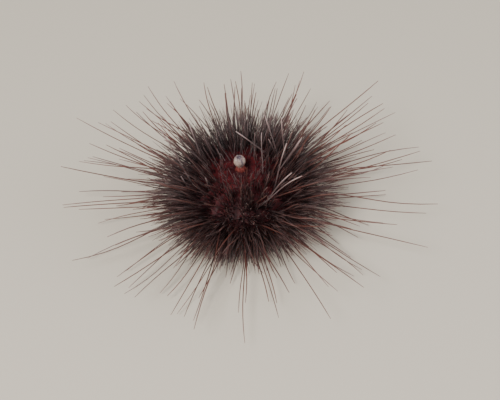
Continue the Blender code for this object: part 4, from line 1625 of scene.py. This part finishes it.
@dataclass
class Skin:
    """The one skin of the test: crown plates, columns with their grooves, mouth membrane."""

    test: TestShape
    columns: int = 320
    crown_rings: int = 60
    side_rings: int = 110
    mouth_rings: int = 56
    seed: int = 5
    swell: float = 0.00007
    swell_scale: float = 420.0
    # How dark the painted shade in the skin's grooves and hollows is at most
    groove_shade: float = 0.85

    # The crown: its plates, their pores, and the membrane with its granules inside them
    periproct_radius: float = 0.0031
    membrane_rise: float = 0.0004
    membrane_sink: float = 0.0001
    membrane_ends: tuple[float, float] = (0.0012, 0.0020)
    ring_place: float = 0.72
    ring_width: float = 0.0006
    ring_depth: float = 0.00030
    # Where the dark ring, partly painted shade, fades out, as shares of the periproct's radius
    ring_ends: tuple[float, float] = (0.55, 1.12)
    genital_ring: float = 0.0042
    genital_size: float = 0.00125
    ocular_ring: float = 0.0047
    ocular_size: float = 0.00025
    plate_rise: float = 0.00026
    gonopore_radius: float = 0.00024
    gonopore_ring: float = 0.0047
    gonopore_depth: float = 0.0004
    granules: int = 46
    granule_places: tuple[float, float] = (0.16, 0.98)
    granule_size: float = 0.0001
    granule_rise: float = 0.00016

    # The columns: the plates' pitch, the grooves between them and the bare bands
    pitch: float = 0.0015
    column_groove: Groove = Groove(0.00030, 0.00010, 0.55)
    suture: Groove = Groove(0.00012, 0.00004, 0.3)
    median: Groove = Groove(0.00022, 0.00008, 0.35)
    median_wave: float = 0.0001
    band: Groove = Groove(0.0011, 0.00016, 0.0)
    band_ends: tuple[float, float] = (0.42, 0.3)
    narrow_rise: float = 0.00012
    bare_ends: tuple[float, float] = (0.70, 0.05)
    bare_width: float = 0.0022

    # The mouth: radius and drop below the edge of the membrane, the lip and the throat
    mouth_corners: Table = (
        (0.0050, 0.00012), (0.0040, 0.00030), (0.0030, 0.00048), (0.0024, 0.00070),
        (0.00215, 0.00085), (0.0019, 0.00079), (0.00175, 0.00050), (0.00165, 0.00010),
        (0.0012, -0.0003), (0.0, -0.0004),
    )
    mouth_plates: int = 120
    mouth_plate_places: tuple[float, float] = (0.12, 0.95)
    mouth_rise: float = 0.00006
    folds: int = 30
    lip_ring: float = 0.0021
    lip_width: float = 0.0005

    def profile(self) -> tuple[Array, Array]:
        """The skin's outline from the top of the crown to the middle of the mouth.

        Returns:
            Radius and height of each ring, and its place down from the top as an arc.
        """
        test = self.test
        radii = np.linspace(0, test.crown_radius, self.crown_rings, endpoint=False)
        angles = [test.angle_at(max(radius, 1e-9), test.upper_power) for radius in radii]
        side_arcs = np.linspace(0, test.length, self.side_rings, endpoint=False)
        angles += np.interp(side_arcs, test.arcs, test.angles).tolist()
        outside = [test.meridian(angle)[:2] for angle in angles]
        corners = np.array([(test.mouth_edge_radius, 0.0), *self.mouth_corners])
        corners[:, 1] = test.mouth_edge - corners[:, 1]
        steps = np.append(0, np.cumsum(np.linalg.norm(np.diff(corners, axis=0), axis=1)))
        at = np.linspace(0, steps[-1], self.mouth_rings)
        mouth = np.column_stack([np.interp(at, steps, corners[:, i]) for i in range(2)])
        mouth_arcs = test.crown_radius + test.length + test.mouth_edge_radius * at / steps[-1]
        arcs = np.concatenate([radii, test.crown_radius + side_arcs, mouth_arcs])
        return np.vstack([outside, mouth]), arcs

    def sector_turn(self, azimuths: Array) -> tuple[Array, Array]:
        """Each azimuth's turn off the nearest ambulacrum's and interambulacrum's middle."""
        half = RAY_STEP / 2
        off = np.mod(azimuths - FIRST_RAY + half, RAY_STEP) - half
        wide_off = np.mod(azimuths - FIRST_RAY, RAY_STEP) - half
        return off, wide_off

    def plates(self, x: Array, y: Array, centres: list[tuple[float, float, float]]) -> Array:
        """How far each point is inside its plate, where plates share borders.

        Args:
            x: the x of each point.
            y: the y of each point.
            centres: x, y and size of each plate.

        Returns:
            The distance to the plate's border, roughly.
        """
        near = np.full(x.shape, 1.0)
        second = np.full(x.shape, 1.0)
        for middle_x, middle_y, size in centres:
            away = np.hypot(x - middle_x, y - middle_y) - size
            second = np.minimum(second, np.maximum(near, away))
            near = np.minimum(near, away)
        return second - near

    def crown_relief(self, radius: Array, azimuth: Array) -> tuple[Array, Array]:
        """The relief of the crown: plates, pores and the granular membrane inside them.

        Args:
            radius: how far out each point is.
            azimuth: its azimuth.

        Returns:
            The rise over the dome, and how deep each point lies in a groove, from 0 to 1, which
            sets its painted shade.
        """
        x, y = polar(radius, azimuth)
        centres = []
        pores = np.full(x.shape, 1.0)
        for i in range(RAYS):
            narrow = FIRST_RAY + i * RAY_STEP
            wide = narrow + RAY_STEP / 2
            centres.append((*polar(self.ocular_ring, narrow), self.ocular_size))
            centres.append((*polar(self.genital_ring, wide), self.genital_size))
            pore_x, pore_y = polar(self.gonopore_ring, wide)
            pores = np.minimum(pores, np.hypot(x - pore_x, y - pore_y))
        pore = 1 - smooth(pores, 0.6 * self.gonopore_radius, 1.3 * self.gonopore_radius)
        border = self.plates(x, y, centres)
        inner, outer = self.periproct_radius, self.test.crown_radius
        on_disc = smooth(radius, inner - 0.0001, inner + 0.00025)
        on_disc *= 1 - smooth(radius, outer - 0.0003, outer + 0.0001)
        plate = smooth(border, 0.00005, 0.00035) * on_disc
        draw = random.Random(self.seed)
        scattered = []
        for _ in range(self.granules):
            away = inner * math.sqrt(draw.uniform(*self.granule_places))
            spot = polar(away, draw.uniform(0, math.tau))
            scattered.append((*spot, draw.uniform(0, self.granule_size)))
        grain = smooth(self.plates(x, y, scattered), 0.00004, 0.00024)
        inside = 1 - smooth(radius, inner - 0.00025, inner)
        rise = self.plate_rise * plate - self.gonopore_depth * pore * on_disc
        rise += inside * (self.granule_rise * grain - self.membrane_sink)
        rise -= self.ring_depth * hump(radius - self.ring_place * inner, self.ring_width)
        rise += self.membrane_rise * (1 - smooth(radius, *self.membrane_ends))
        between = 0.75 * on_disc * (1 - smooth(border, 0.00003, 0.00018))
        hollow = np.maximum(pore * on_disc, between)
        return rise, np.maximum(hollow, 0.5 * inside * (1 - grain))

    def side_relief(self, arc: Array, azimuth: Array, radius: Array) -> tuple[Array, Array]:
        """The relief of the columns: plates with sutures, and grooves between the columns.

        Args:
            arc: how far down from the crown each point is.
            azimuth: its azimuth.
            radius: how far from the axis.

        Returns:
            The rise over the test, and how deep each point lies in a groove, which sets its
            painted shade.
        """
        off, wide_off = self.sector_turn(azimuth)
        across = np.abs(wide_off) * radius
        from_edge = np.abs(np.abs(off) - NARROW_HALF) * radius
        zigzag = np.where(wide_off > 0, 0.5, 0.0)
        from_suture = np.abs(np.mod(arc / self.pitch + zigzag, 1.0) - 0.5) * self.pitch
        wave = self.median_wave * np.sin(arc / self.pitch * math.tau)
        grooves = {
            self.column_groove: hump(from_edge, self.column_groove.width),
            self.suture: hump(from_suture, self.suture.width),
            self.median: hump(across - wave, self.median.width),
        }
        fraction = arc / self.test.length
        band = smooth(fraction, *self.band_ends) * hump(across, self.band.width)
        narrow = np.cos(np.clip(off / NARROW_HALF, -1, 1) * math.pi / 2) ** 2
        rise = self.narrow_rise * narrow - self.band.depth * band
        rise -= sum(groove.depth * share for groove, share in grooves.items())
        hollow = np.maximum.reduce([groove.shade * share for groove, share in grooves.items()])
        ends = smooth(fraction, 0.0, 0.04) * smooth(fraction, 1.0, 0.96)
        return rise * ends, hollow * ends

    def mouth_relief(self, radius: Array, azimuth: Array, share: Array) -> tuple[Array, Array]:
        """The relief of the mouth membrane: radial folds, and plates set in it.

        Args:
            radius: how far from the axis each point is.
            azimuth: its azimuth.
            share: how far from the edge to the middle of the mouth it is.

        Returns:
            The rise over the membrane, and how deep each point lies in a fold, which sets its
            painted shade; the throat is painted dark as shade too.
        """
        draw = random.Random(self.seed + 1)
        centres = []
        for _ in range(self.mouth_plates):
            away = math.sqrt(draw.uniform(*self.mouth_plate_places)) * self.test.mouth_edge_radius
            centres.append((*polar(away, draw.uniform(0, math.tau)), 0.0))
        plate = smooth(self.plates(*polar(radius, azimuth), centres), 0.00003, 0.0003)
        folds = np.cos(azimuth * self.folds + 1.3 * np.sin(azimuth * 7))
        near_lip = hump(radius - self.lip_ring, self.lip_width)
        inside = smooth(share, 0.8, 0.7)
        rise = self.mouth_rise * inside * (plate * (1 - near_lip) + folds * near_lip)
        gaps = 0.35 * (1 - plate) * (1 - near_lip)
        hollow = inside * np.maximum(gaps, near_lip * 0.5 * (0.5 - folds / 2))
        # Painted shade: the throat darkens towards the middle of the mouth
        return rise * smooth(share, 0.0, 0.03), hollow + smooth(share, 0.72, 0.9)

    def build(self, material: Material) -> Object:
        """Makes the skin.

        Args:
            material: its material.

        Returns:
            The piece.
        """
        test = self.test
        profile, arcs = self.profile()
        slope = np.gradient(profile, axis=0)
        slope /= np.linalg.norm(slope, axis=1)[:, None]
        azimuths = np.arange(self.columns) * math.tau / self.columns
        arc, azimuth = np.meshgrid(arcs, azimuths, indexing="ij")
        radius = np.repeat(profile[:, :1], self.columns, axis=1)
        down = arc - test.crown_radius
        in_crown, in_mouth = down < 0, down >= test.length
        share = np.clip((down - test.length) / test.mouth_edge_radius, 0, 1)
        parts = [in_crown, in_mouth]
        crown = self.crown_relief(radius, azimuth)
        mouth = self.mouth_relief(radius, azimuth, share)
        side = self.side_relief(down, azimuth, radius)
        rise, hollow = (np.select(parts, [crown[i], mouth[i]], side[i]) for i in range(2))
        level = profile[:, :1] - slope[:, 1:] * rise
        height = profile[:, 1:] + slope[:, :1] * rise
        points = np.stack([*polar(level, azimuth), height], axis=2)
        unwrap = np.stack(map_spot(MAP_REACH * arc / arcs[-1], azimuth), axis=2)
        _, wide_off = self.sector_turn(azimuth)
        bare = 0.5 + 0.5 * hump(wide_off * radius, self.bare_width)
        bare *= smooth(down / test.length, *self.bare_ends)
        inner, outer = (end * self.periproct_radius for end in self.ring_ends)
        kept = {
            "bare": np.where(in_crown, 1.0, bare),
            # Partly the periproct's dark membrane, partly painted shade round the papilla
            "ring": (1 - smooth(radius, inner, outer)) * in_crown,
            "mouth": in_mouth * 1.0,
            # Painted shade in the grooves, pores, folds and throat
            "hollow": np.clip(hollow, 0, 1) * self.groove_shade,
        }
        mesh = turned_mesh("test_skin", self.roughened(points, slope), unwrap, kept)
        mesh.materials.append(material)
        return linked("test_skin", mesh)

    def roughened(self, points: Array, slope: Array) -> Array:
        """Adds slow swells, so that the turned form isn't too even.

        Args:
            points: the skin's points, ring by ring.
            slope: how each ring's outline runs out and up.

        Returns:
            The moved points; the poles stay.
        """
        rise = np.zeros(points.shape[:2])
        for ring in range(1, len(points) - 1):
            for column, point in enumerate(points[ring]):
                rise[ring, column] = noise.noise(Vector(point) * self.swell_scale) * self.swell
        away = np.hypot(points[..., 0], points[..., 1])
        outward = points[..., :2] / np.where(away > 0, away, 1.0)[..., None]
        moved = points.copy()
        moved[..., :2] -= (slope[:, 1:] * rise)[..., None] * outward
        moved[..., 2] += slope[:, :1] * rise
        return moved


@dataclass
class Papilla:
    """The anal cone: a flared foot, a neck, and a pale lobed bulb with the anus on top."""

    top: float
    foot: float = 0.00115
    neck: float = 0.00088
    bulb: float = 0.00143
    bulb_height: float = 0.0030
    anus_radius: float = 0.00045
    anus_depth: float = 0.0006
    columns: int = 96
    lobes: int = 7
    crease_azimuth: float = math.radians(-62)
    crease_width: float = 0.24
    crease_depth: float = 0.13
    pleats: int = 8
    pleat_depth: float = 0.07
    lobe_depth: float = 0.10
    lobe_rise: float = 0.00011
    unevenness: float = 0.022
    fold_depth: float = 0.03
    fold_height: float = 0.00024
    bulb_rings: int = 26
    neck_rings: int = 16
    flare: float = 1.2
    flare_power: float = 2.8
    foot_rise: float = 0.0003
    foot_sink: float = 0.0006

    # The anus from its middle to its rim: shares of its radius and of its depth
    anus_rows: Table = ((0.0, 1.0), (0.55, 0.92), (0.8, 0.4))

    @property
    def centre(self) -> float:
        """The height of the middle of the bulb."""
        return self.top + self.bulb_height

    def profile(self) -> Array:
        """The outline from the bottom of the anus to the sunk foot.

        Returns:
            Radius and height of each ring.
        """
        rim = math.asin(self.anus_radius / self.bulb)
        waist = math.pi - math.asin(self.neck / self.bulb)
        high = self.centre + self.bulb * math.cos(rim)
        anus = np.array(self.anus_rows) * (self.anus_radius, -self.anus_depth) + (0, high)
        rows = anus.tolist()
        for angle in np.linspace(rim, waist, self.bulb_rings):
            rows.append((self.bulb * math.sin(angle), self.centre + self.bulb * math.cos(angle)))
        low = rows[-1][1]
        foot = self.foot * self.flare
        for share in np.linspace(0, 1, self.neck_rings)[1:]:
            radius = self.neck + (foot - self.neck) * share**self.flare_power
            rows.append((radius, low + (self.top + self.foot_rise - low) * share))
        rows += [(foot, self.top - self.foot_sink), (0.0, self.top - self.foot_sink)]
        return np.array(rows)

    def build(self, material: Material) -> Object:
        """Makes the papilla.

        Args:
            material: its material.

        Returns:
            The piece.
        """
        profile = self.profile()
        radius = np.repeat(profile[:, :1], self.columns, axis=1)
        height = np.repeat(profile[:, 1:], self.columns, axis=1)
        azimuths = np.arange(self.columns) * math.tau / self.columns
        azimuth = np.repeat(azimuths[None, :], len(profile), axis=0)
        up = (height - self.centre) / self.bulb
        lobing = np.cos(self.lobes * azimuth + 0.6 * np.sin(2 * azimuth)) * smooth(up, 0.45, 0.95)
        folds = np.sin(height / self.fold_height) * smooth(up, -0.6, -1.0)
        turn = np.angle(np.exp(1j * (azimuth - self.crease_azimuth)))
        crease = hump(turn, self.crease_width) * smooth(up, -0.7, 0.1)
        pleats = np.cos(self.pleats * azimuth + 1.7 * np.sin(azimuth + 0.8))
        uneven = self.unevenness * np.cos(3 * azimuth + 1)
        radius *= 1 + self.lobe_depth * lobing + uneven + self.fold_depth * folds
        radius *= 1 + self.pleat_depth * pleats * smooth(up, -0.62, -0.95)
        radius *= 1 - self.crease_depth * crease
        height += self.lobe_rise * lobing * smooth(radius, 0.0002, 0.0005)
        points = np.stack([*polar(radius, azimuth), height], axis=2)
        reach = MAP_REACH * np.linspace(0, 1, len(profile))[:, None]
        unwrap = np.stack(map_spot(reach, azimuth), axis=2)
        inside = 1 - smooth(radius, 0.9 * self.anus_radius, 2.5 * self.anus_radius)
        kept = {
            "along": (height - self.top) / (self.bulb_height + self.bulb),
            # The anus's grey-mauve, and painted shade down the crease
            "hollow": np.maximum(inside * smooth(up, 0.2, 0.6), 0.9 * crease),
        }
        mesh = turned_mesh("papilla", points, unwrap, kept)
        mesh.materials.append(material)
        return linked("papilla", mesh)


class Limb(NamedTuple):
    """How far a soft rod reaches out and down, how thick it is and how it ends."""

    outward: float
    downward: float
    girth: float
    tip: float


@dataclass
class Mouth:
    """Feet, gills and teeth round the mouth."""

    test: TestShape
    seed: int = 21
    root_lift: float = -0.0002
    stray: float = 0.0002
    buccal_ring: float = 0.0034
    buccal_spread: float = math.radians(13)
    buccal_foot: Limb = Limb(0.0002, 0.0012, 0.00026, 0.95)
    gill_ring: float = 0.0049
    gill_stray: float = 0.00018
    gill_fingers: int = 9
    gill_turns: tuple[float, float] = (9, 10)
    gill_finger: Limb = Limb(0.0009, 0.0008, 0.00013, 0.7)
    gill_outward: tuple[float, float] = (0.6, 1.1)
    gill_downward: tuple[float, float] = (0.5, 1.1)
    tooth_radius: float = 0.00042
    tooth_tip: float = 0.00008
    tooth_length: float = 0.0016
    tooth_ring: float = 0.0010
    tooth_tip_ring: float = 0.00042
    tooth_drop: float = 0.00041
    tooth_rings: int = 12
    tooth_sides: int = 10
    tooth_flatness: float = 0.9
    keel: float = 1.15
    keel_half: float = 0.4

    def sprout(self, ring: float, azimuth: float, limb: Limb, draw: random.Random) -> Sprout:
        """A short soft rod out of the membrane.

        Args:
            ring: how far from the axis it starts.
            azimuth: where round the mouth.
            limb: its sizes.
            draw: the source of its variation.

        Returns:
            The rod.
        """
        turn = Matrix.Rotation(azimuth, 3, "Z")
        arc = self.test.length + self.test.mouth_edge_radius - ring
        reach = Vector((limb.outward, draw.uniform(-1, 1) * self.stray, -limb.downward))
        bend = Vector((draw.uniform(-1, 1), draw.uniform(-1, 1), 0)) * self.stray
        return Sprout(
            start=turn @ Vector((ring, 0, self.test.mouth_edge + self.root_lift)),
            reach=turn @ reach,
            bend=turn @ bend,
            girth=limb.girth,
            tip=limb.tip,
            tone=draw.random(),
            place=self.test.spot_of(arc, azimuth),
        )

    def build_feet(self, tree: NodeTree, material: Material) -> Object:
        """Makes the buccal feet, in pairs, with broad ends.

        Args:
            tree: the tree that grows rods.
            material: their material.

        Returns:
            The piece.
        """
        draw = random.Random(self.seed)
        sprouts = []
        for i in range(RAYS):
            for side in (-1, 1):
                azimuth = FIRST_RAY + i * RAY_STEP + side * self.buccal_spread
                sprouts.append(self.sprout(self.buccal_ring, azimuth, self.buccal_foot, draw))
        growth = Growth(tree, sprouts, 12, 12, collar=0.35, sink=0.0004, sucker=0.75, sway=0.02)
        return growth.build("buccal_feet", material)

    def build_gills(self, tree: NodeTree, material: Material) -> Object:
        """Makes the gills, a small bush of fingers at each side of each ambulacrum.

        Args:
            tree: the tree that grows rods.
            material: their material.

        Returns:
            The piece.
        """
        draw = random.Random(self.seed + 1)
        sprouts = []
        first_turn, spread = self.gill_turns
        for i in range(RAYS):
            for side in (-1, 1):
                for finger in range(self.gill_fingers):
                    turn = first_turn + spread * finger / (self.gill_fingers - 1)
                    azimuth = FIRST_RAY + i * RAY_STEP + side * math.radians(turn)
                    ring = self.gill_ring + draw.uniform(-1, 1) * self.gill_stray
                    limb = self.gill_finger._replace(
                        outward=self.gill_finger.outward * draw.uniform(*self.gill_outward),
                        downward=self.gill_finger.downward * draw.uniform(*self.gill_downward),
                    )
                    sprouts.append(self.sprout(ring, azimuth, limb, draw))
        growth = Growth(tree, sprouts, 8, 6, collar=0.5, sink=0.0003, sway=0.06)
        return growth.build("gills", material)

    def tooth_section(self, share: float) -> list[Vector]:
        """The points round a keeled tooth at one height.

        Args:
            share: how far down it is, from 0 at the top to 1 at the tip.

        Returns:
            The points, for a tooth that stands on the X side.
        """
        middle = self.tooth_ring + (self.tooth_tip_ring - self.tooth_ring) * share**1.3
        size = self.tooth_radius + (self.tooth_tip - self.tooth_radius) * share**1.6
        height = self.test.mouth_edge - self.tooth_drop - self.tooth_length * share
        points = []
        for k in range(self.tooth_sides):
            angle = math.tau * k / self.tooth_sides
            is_keel = abs(angle - math.pi) < self.keel_half
            swell = self.keel if is_keel else 0.72 + 0.2 * abs(math.sin(angle))
            x = middle + size * math.cos(angle) * swell
            points.append(Vector((x, size * math.sin(angle) * self.tooth_flatness, height)))
        return points

    def build_teeth(self, material: Material) -> Object:
        """Makes the five keeled tooth tips, leaning together.

        Args:
            material: their material.

        Returns:
            The piece.
        """
        rings, sides = self.tooth_rings, self.tooth_sides
        vertices: list[Vector] = []
        faces: list[tuple[int, ...]] = []
        along: list[float] = []
        for i in range(RAYS):
            turn = Matrix.Rotation(FIRST_RAY + (i + 0.5) * RAY_STEP, 3, "Z")
            first = len(vertices)
            last = first + (rings - 1) * sides
            for ring in range(rings):
                share = ring / (rings - 1)
                vertices += [turn @ point for point in self.tooth_section(share)]
                along += [share] * sides
            for start in range(first, last, sides):
                for k in range(sides):
                    a, b = start + k, start + (k + 1) % sides
                    faces.append((b, a, a + sides, b + sides))
            faces.append(tuple(range(first, first + sides)))
            faces.append(tuple(reversed(range(last, last + sides))))
        mesh = bpy.data.meshes.new("teeth")
        mesh.from_pydata(vertices, [], faces)
        keep_values(mesh, "along", along)
        mesh.shade_smooth()
        mesh.materials.append(material)
        return linked("teeth", mesh)


@dataclass
class TubeFeet:
    """The tube feet under and beside the ambulacra, with suckers that hold the floor."""

    test: TestShape
    sectors: list[Sector]
    border: float
    floor_places: tuple[float, ...] = (0.80, 0.88, 0.96)
    side_places: tuple[float, ...] = (0.18, 0.27, 0.36, 0.45, 0.54, 0.62, 0.70)
    side_lengths: tuple[float, float] = (0.0018, 0.0032)
    share: float = 0.55
    lean: float = 0.0006
    sag: float = 0.0004
    sucker_lift: float = 0.00006
    girth: float = 0.00015
    tip: float = 0.8
    seed: int = 31

    def build(self, tree: NodeTree, material: Material) -> Object:
        """Makes the tube feet.

        Args:
            tree: the tree that grows rods.
            material: their material.

        Returns:
            The piece.
        """
        draw = random.Random(self.seed)
        sprouts = []
        for sector in self.sectors:
            if sector.is_wide:
                continue
            for place in self.floor_places + self.side_places:
                arc = place * self.test.length
                radius, room = self.test.room_at(arc, sector.half, self.border)
                for side in (-1, 1):
                    azimuth = sector.centre + side * self.share * room / radius
                    sprouts.append(self.foot(arc, azimuth, place in self.floor_places, draw))
        growth = Growth(tree, sprouts, 14, 8, collar=0.4, sucker=1.4, sway=0.012)
        return growth.build("tube_feet", material)

    def foot(self, arc: float, azimuth: float, is_standing: bool, draw: random.Random) -> Sprout:
        """One tube foot.

        Args:
            arc: how far down from the crown it starts.
            azimuth: where round the test.
            is_standing: whether its sucker holds the floor.
            draw: the source of its variation.

        Returns:
            The foot.
        """
        base, normal = self.test.on_test(arc, azimuth)
        if is_standing:
            below = Vector((base.x, base.y, self.sucker_lift))
            reach = below * (1 + self.lean / below.length) - base
        else:
            reach = normal * draw.uniform(*self.side_lengths)
        sag = Vector((draw.uniform(-1, 1), draw.uniform(-1, 1), 0)) * self.sag
        return Sprout(
            start=base,
            reach=reach - sag,
            bend=sag,
            girth=self.girth,
            tip=self.tip,
            tone=draw.random(),
            place=self.test.spot_of(arc, azimuth),
        )


class Lamp(NamedTuple):
    """One soft light: its name, place, size, power and colour."""

    name: str
    place: tuple[float, float, float]
    size: float
    power: float
    colour: Colour


@dataclass
class Studio:
    """A plain pale floor and plain soft lights."""

    floor_colour: Colour = (0.62, 0.56, 0.47)
    floor_size: float = 3.0
    floor_roughness: float = 0.9
    aim: tuple[float, float, float] = (0, 0, 0.01)
    lamps: tuple[Lamp, ...] = (
        Lamp("key", (-0.25, -0.35, 0.60), 0.22, 6.5, (1.0, 0.98, 0.95)),
        Lamp("fill", (0.50, -0.20, 0.35), 0.50, 2.0, (0.95, 0.97, 1.0)),
    )
    room_colour: Colour = (1.0, 0.99, 0.97)
    room_strength: float = 0.36

    def build_floor(self) -> None:
        """Makes the floor, which isn't part of the object."""
        half = self.floor_size / 2
        corners = [(-half, -half, 0), (half, -half, 0), (half, half, 0), (-half, half, 0)]
        mesh = bpy.data.meshes.new("floor")
        mesh.from_pydata(corners, [], [(0, 1, 2, 3)])
        made = bpy.data.materials.new("floor")
        made.use_nodes = True
        shader = made.node_tree.nodes["Principled BSDF"]
        shader.inputs["Base Color"].default_value = opaque(self.floor_colour)
        shader.inputs["Roughness"].default_value = self.floor_roughness
        mesh.materials.append(made)
        floor = linked("floor", mesh)

    def light(self, lamp: Lamp) -> None:
        """Adds one soft light that faces the object.

        Args:
            lamp: the light's sizes.
        """
        data = bpy.data.lights.new(lamp.name, "AREA")
        data.size = lamp.size
        data.energy = lamp.power
        data.color = lamp.colour
        place = Vector(lamp.place)
        made = bpy.data.objects.new(lamp.name, data)
        made.location = place
        made.rotation_mode = "QUATERNION"
        made.rotation_quaternion = (place - Vector(self.aim)).to_track_quat("Z", "Y")
        bpy.context.scene.collection.objects.link(made)

    def build(self) -> None:
        """Sets the floor, the lights and the even light of the room."""
        self.build_floor()
        for lamp in self.lamps:
            self.light(lamp)
        world = bpy.data.worlds.new("room")
        world.use_nodes = True
        background = world.node_tree.nodes["Background"]
        background.inputs["Color"].default_value = opaque(self.room_colour)
        background.inputs["Strength"].default_value = self.room_strength
        bpy.context.scene.world = world


SPINES = SpineFinish(
    root=(0.0120, 0.0046, 0.0056),
    shaft=(0.040, 0.0182, 0.0176),
    light_shaft=(0.180, 0.130, 0.130),
    outer=(0.150, 0.044, 0.031),
    tip=(0.56, 0.42, 0.41),
)
SKIN = SkinFinish(
    bare=(0.028, 0.0038, 0.0060),
    bare_light=(0.082, 0.0090, 0.0110),
    covered=(0.032, 0.0055, 0.0070),
    covered_dark=(0.010, 0.0034, 0.0044),
    ring=(0.030, 0.004, 0.006),
    mouth=(0.090, 0.024, 0.022),
    groove=(0.012, 0.002, 0.003),
)
BULB = BulbFinish(
    foot=(0.055, 0.006, 0.006),
    neck=(0.280, 0.076, 0.060),
    neck_shade=(0.095, 0.017, 0.018),
    cream=(0.480, 0.375, 0.315),
    cream_shade=(0.220, 0.145, 0.135),
    anus=(0.100, 0.076, 0.095),
)
FEET = SoftFinish(
    base=(0.055, 0.014, 0.014),
    base_light=(0.105, 0.034, 0.031),
    end=(0.095, 0.042, 0.040),
)
GILLS = SoftFinish(
    base=(0.110, 0.026, 0.024),
    base_light=(0.200, 0.065, 0.055),
    end=(0.300, 0.140, 0.120),
)
BOSSES = SoftFinish(
    base=(0.030, 0.005, 0.006),
    base_light=(0.075, 0.014, 0.015),
    end=(0.075, 0.014, 0.015),
    wet=0.5,
    dry=0.75,
    shine=0.15,
)
TEETH = ToothFinish(ivory=(0.860, 0.830, 0.740), stain=(0.640, 0.560, 0.440))


def ride_on_body(piece: Object, axis: Vector, slot: str, nodes: list[str]) -> None:
    """Puts a finished piece in its place on the body, hides the solids that it replaces, and logs
    its triangles.

    Args:
        piece: the piece, made round the origin.
        axis: where the body's axis stands.
        slot: not used.
        nodes: the solids that the piece replaces.
    """
    piece.data.transform(Matrix.Translation(axis))
    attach(piece, "root")
    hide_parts(*nodes)
    triangles = sum(len(face.vertices) - 2 for face in piece.data.polygons)
    LOG.info("%s: %d triangles", piece.name, triangles)


def body_axis() -> Vector:
    """Where the axis of the body stands on the floor."""
    low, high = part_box("anal_papilla")
    return Vector(((low.x + high.x) / 2, (low.y + high.y) / 2, 0))


def main() -> None:
    """Builds and dresses every piece of the urchin, and the studio round it."""
    axis = body_axis()
    test = TestShape()
    sectors = list_sectors()
    papilla = Papilla(test.top)
    bulb = Vector((0, 0, papilla.centre))
    View(axis + bulb).set_camera()
    Studio().build()
    effects = Effects()
    tree = GrowthTree().build()
    rules = SpineRules()
    wide = [sector.name for sector in sectors if sector.is_wide]
    narrow = [sector.name for sector in sectors if not sector.is_wide]

    skin = Skin(test).build(SKIN.material("moist_skin", effects))
    nodes = [sector.name for sector in sectors] + ["apical_disc", "periproct", "peristome"]
    ride_on_body(skin, axis, "interambulacrum", nodes)
    bulb_piece = papilla.build(BULB.material("papilla", effects))
    ride_on_body(bulb_piece, axis, "anal_papilla", ["anal_papilla"])

    coat = Coat(test, View(bulb), rules, sectors)
    spine_material = SPINES.material("spines", effects)
    for sector, piece in zip(sectors, coat.build(tree, spine_material)):
        slot = "interambulacrum" if sector.is_wide else "ambulacrum"
        ride_on_body(piece, axis, slot, [sector.name])
    crown = coat.build_crown(tree, spine_material)
    ride_on_body(crown, axis, "apical_disc", ["apical_disc"])
    boss_tree = BossTree().build()
    for is_wide, slot, nodes in ((True, "interambulacrum", wide), (False, "ambulacrum", narrow)):
        bosses = coat.build_bosses(boss_tree, is_wide, BOSSES.material(f"bosses_{slot}", effects))
        ride_on_body(bosses, axis, slot, nodes)

    mouth = Mouth(test)
    feet_material = FEET.material("tube_feet", effects)
    feet = TubeFeet(test, sectors, rules.border).build(tree, feet_material)
    ride_on_body(feet, axis, "ambulacrum", narrow)
    ride_on_body(mouth.build_feet(tree, feet_material), axis, "peristome", ["peristome"])
    gills = mouth.build_gills(tree, GILLS.material("gills", effects))
    ride_on_body(gills, axis, "peristome", ["peristome"])
    teeth = mouth.build_teeth(TEETH.material("teeth", effects))
    ride_on_body(teeth, axis, "teeth", [f"tooth_{i + 1}" for i in range(RAYS)])


if __name__ == "__main__":
    logging.basicConfig(level=logging.INFO, format="%(name)s %(message)s")
    main()
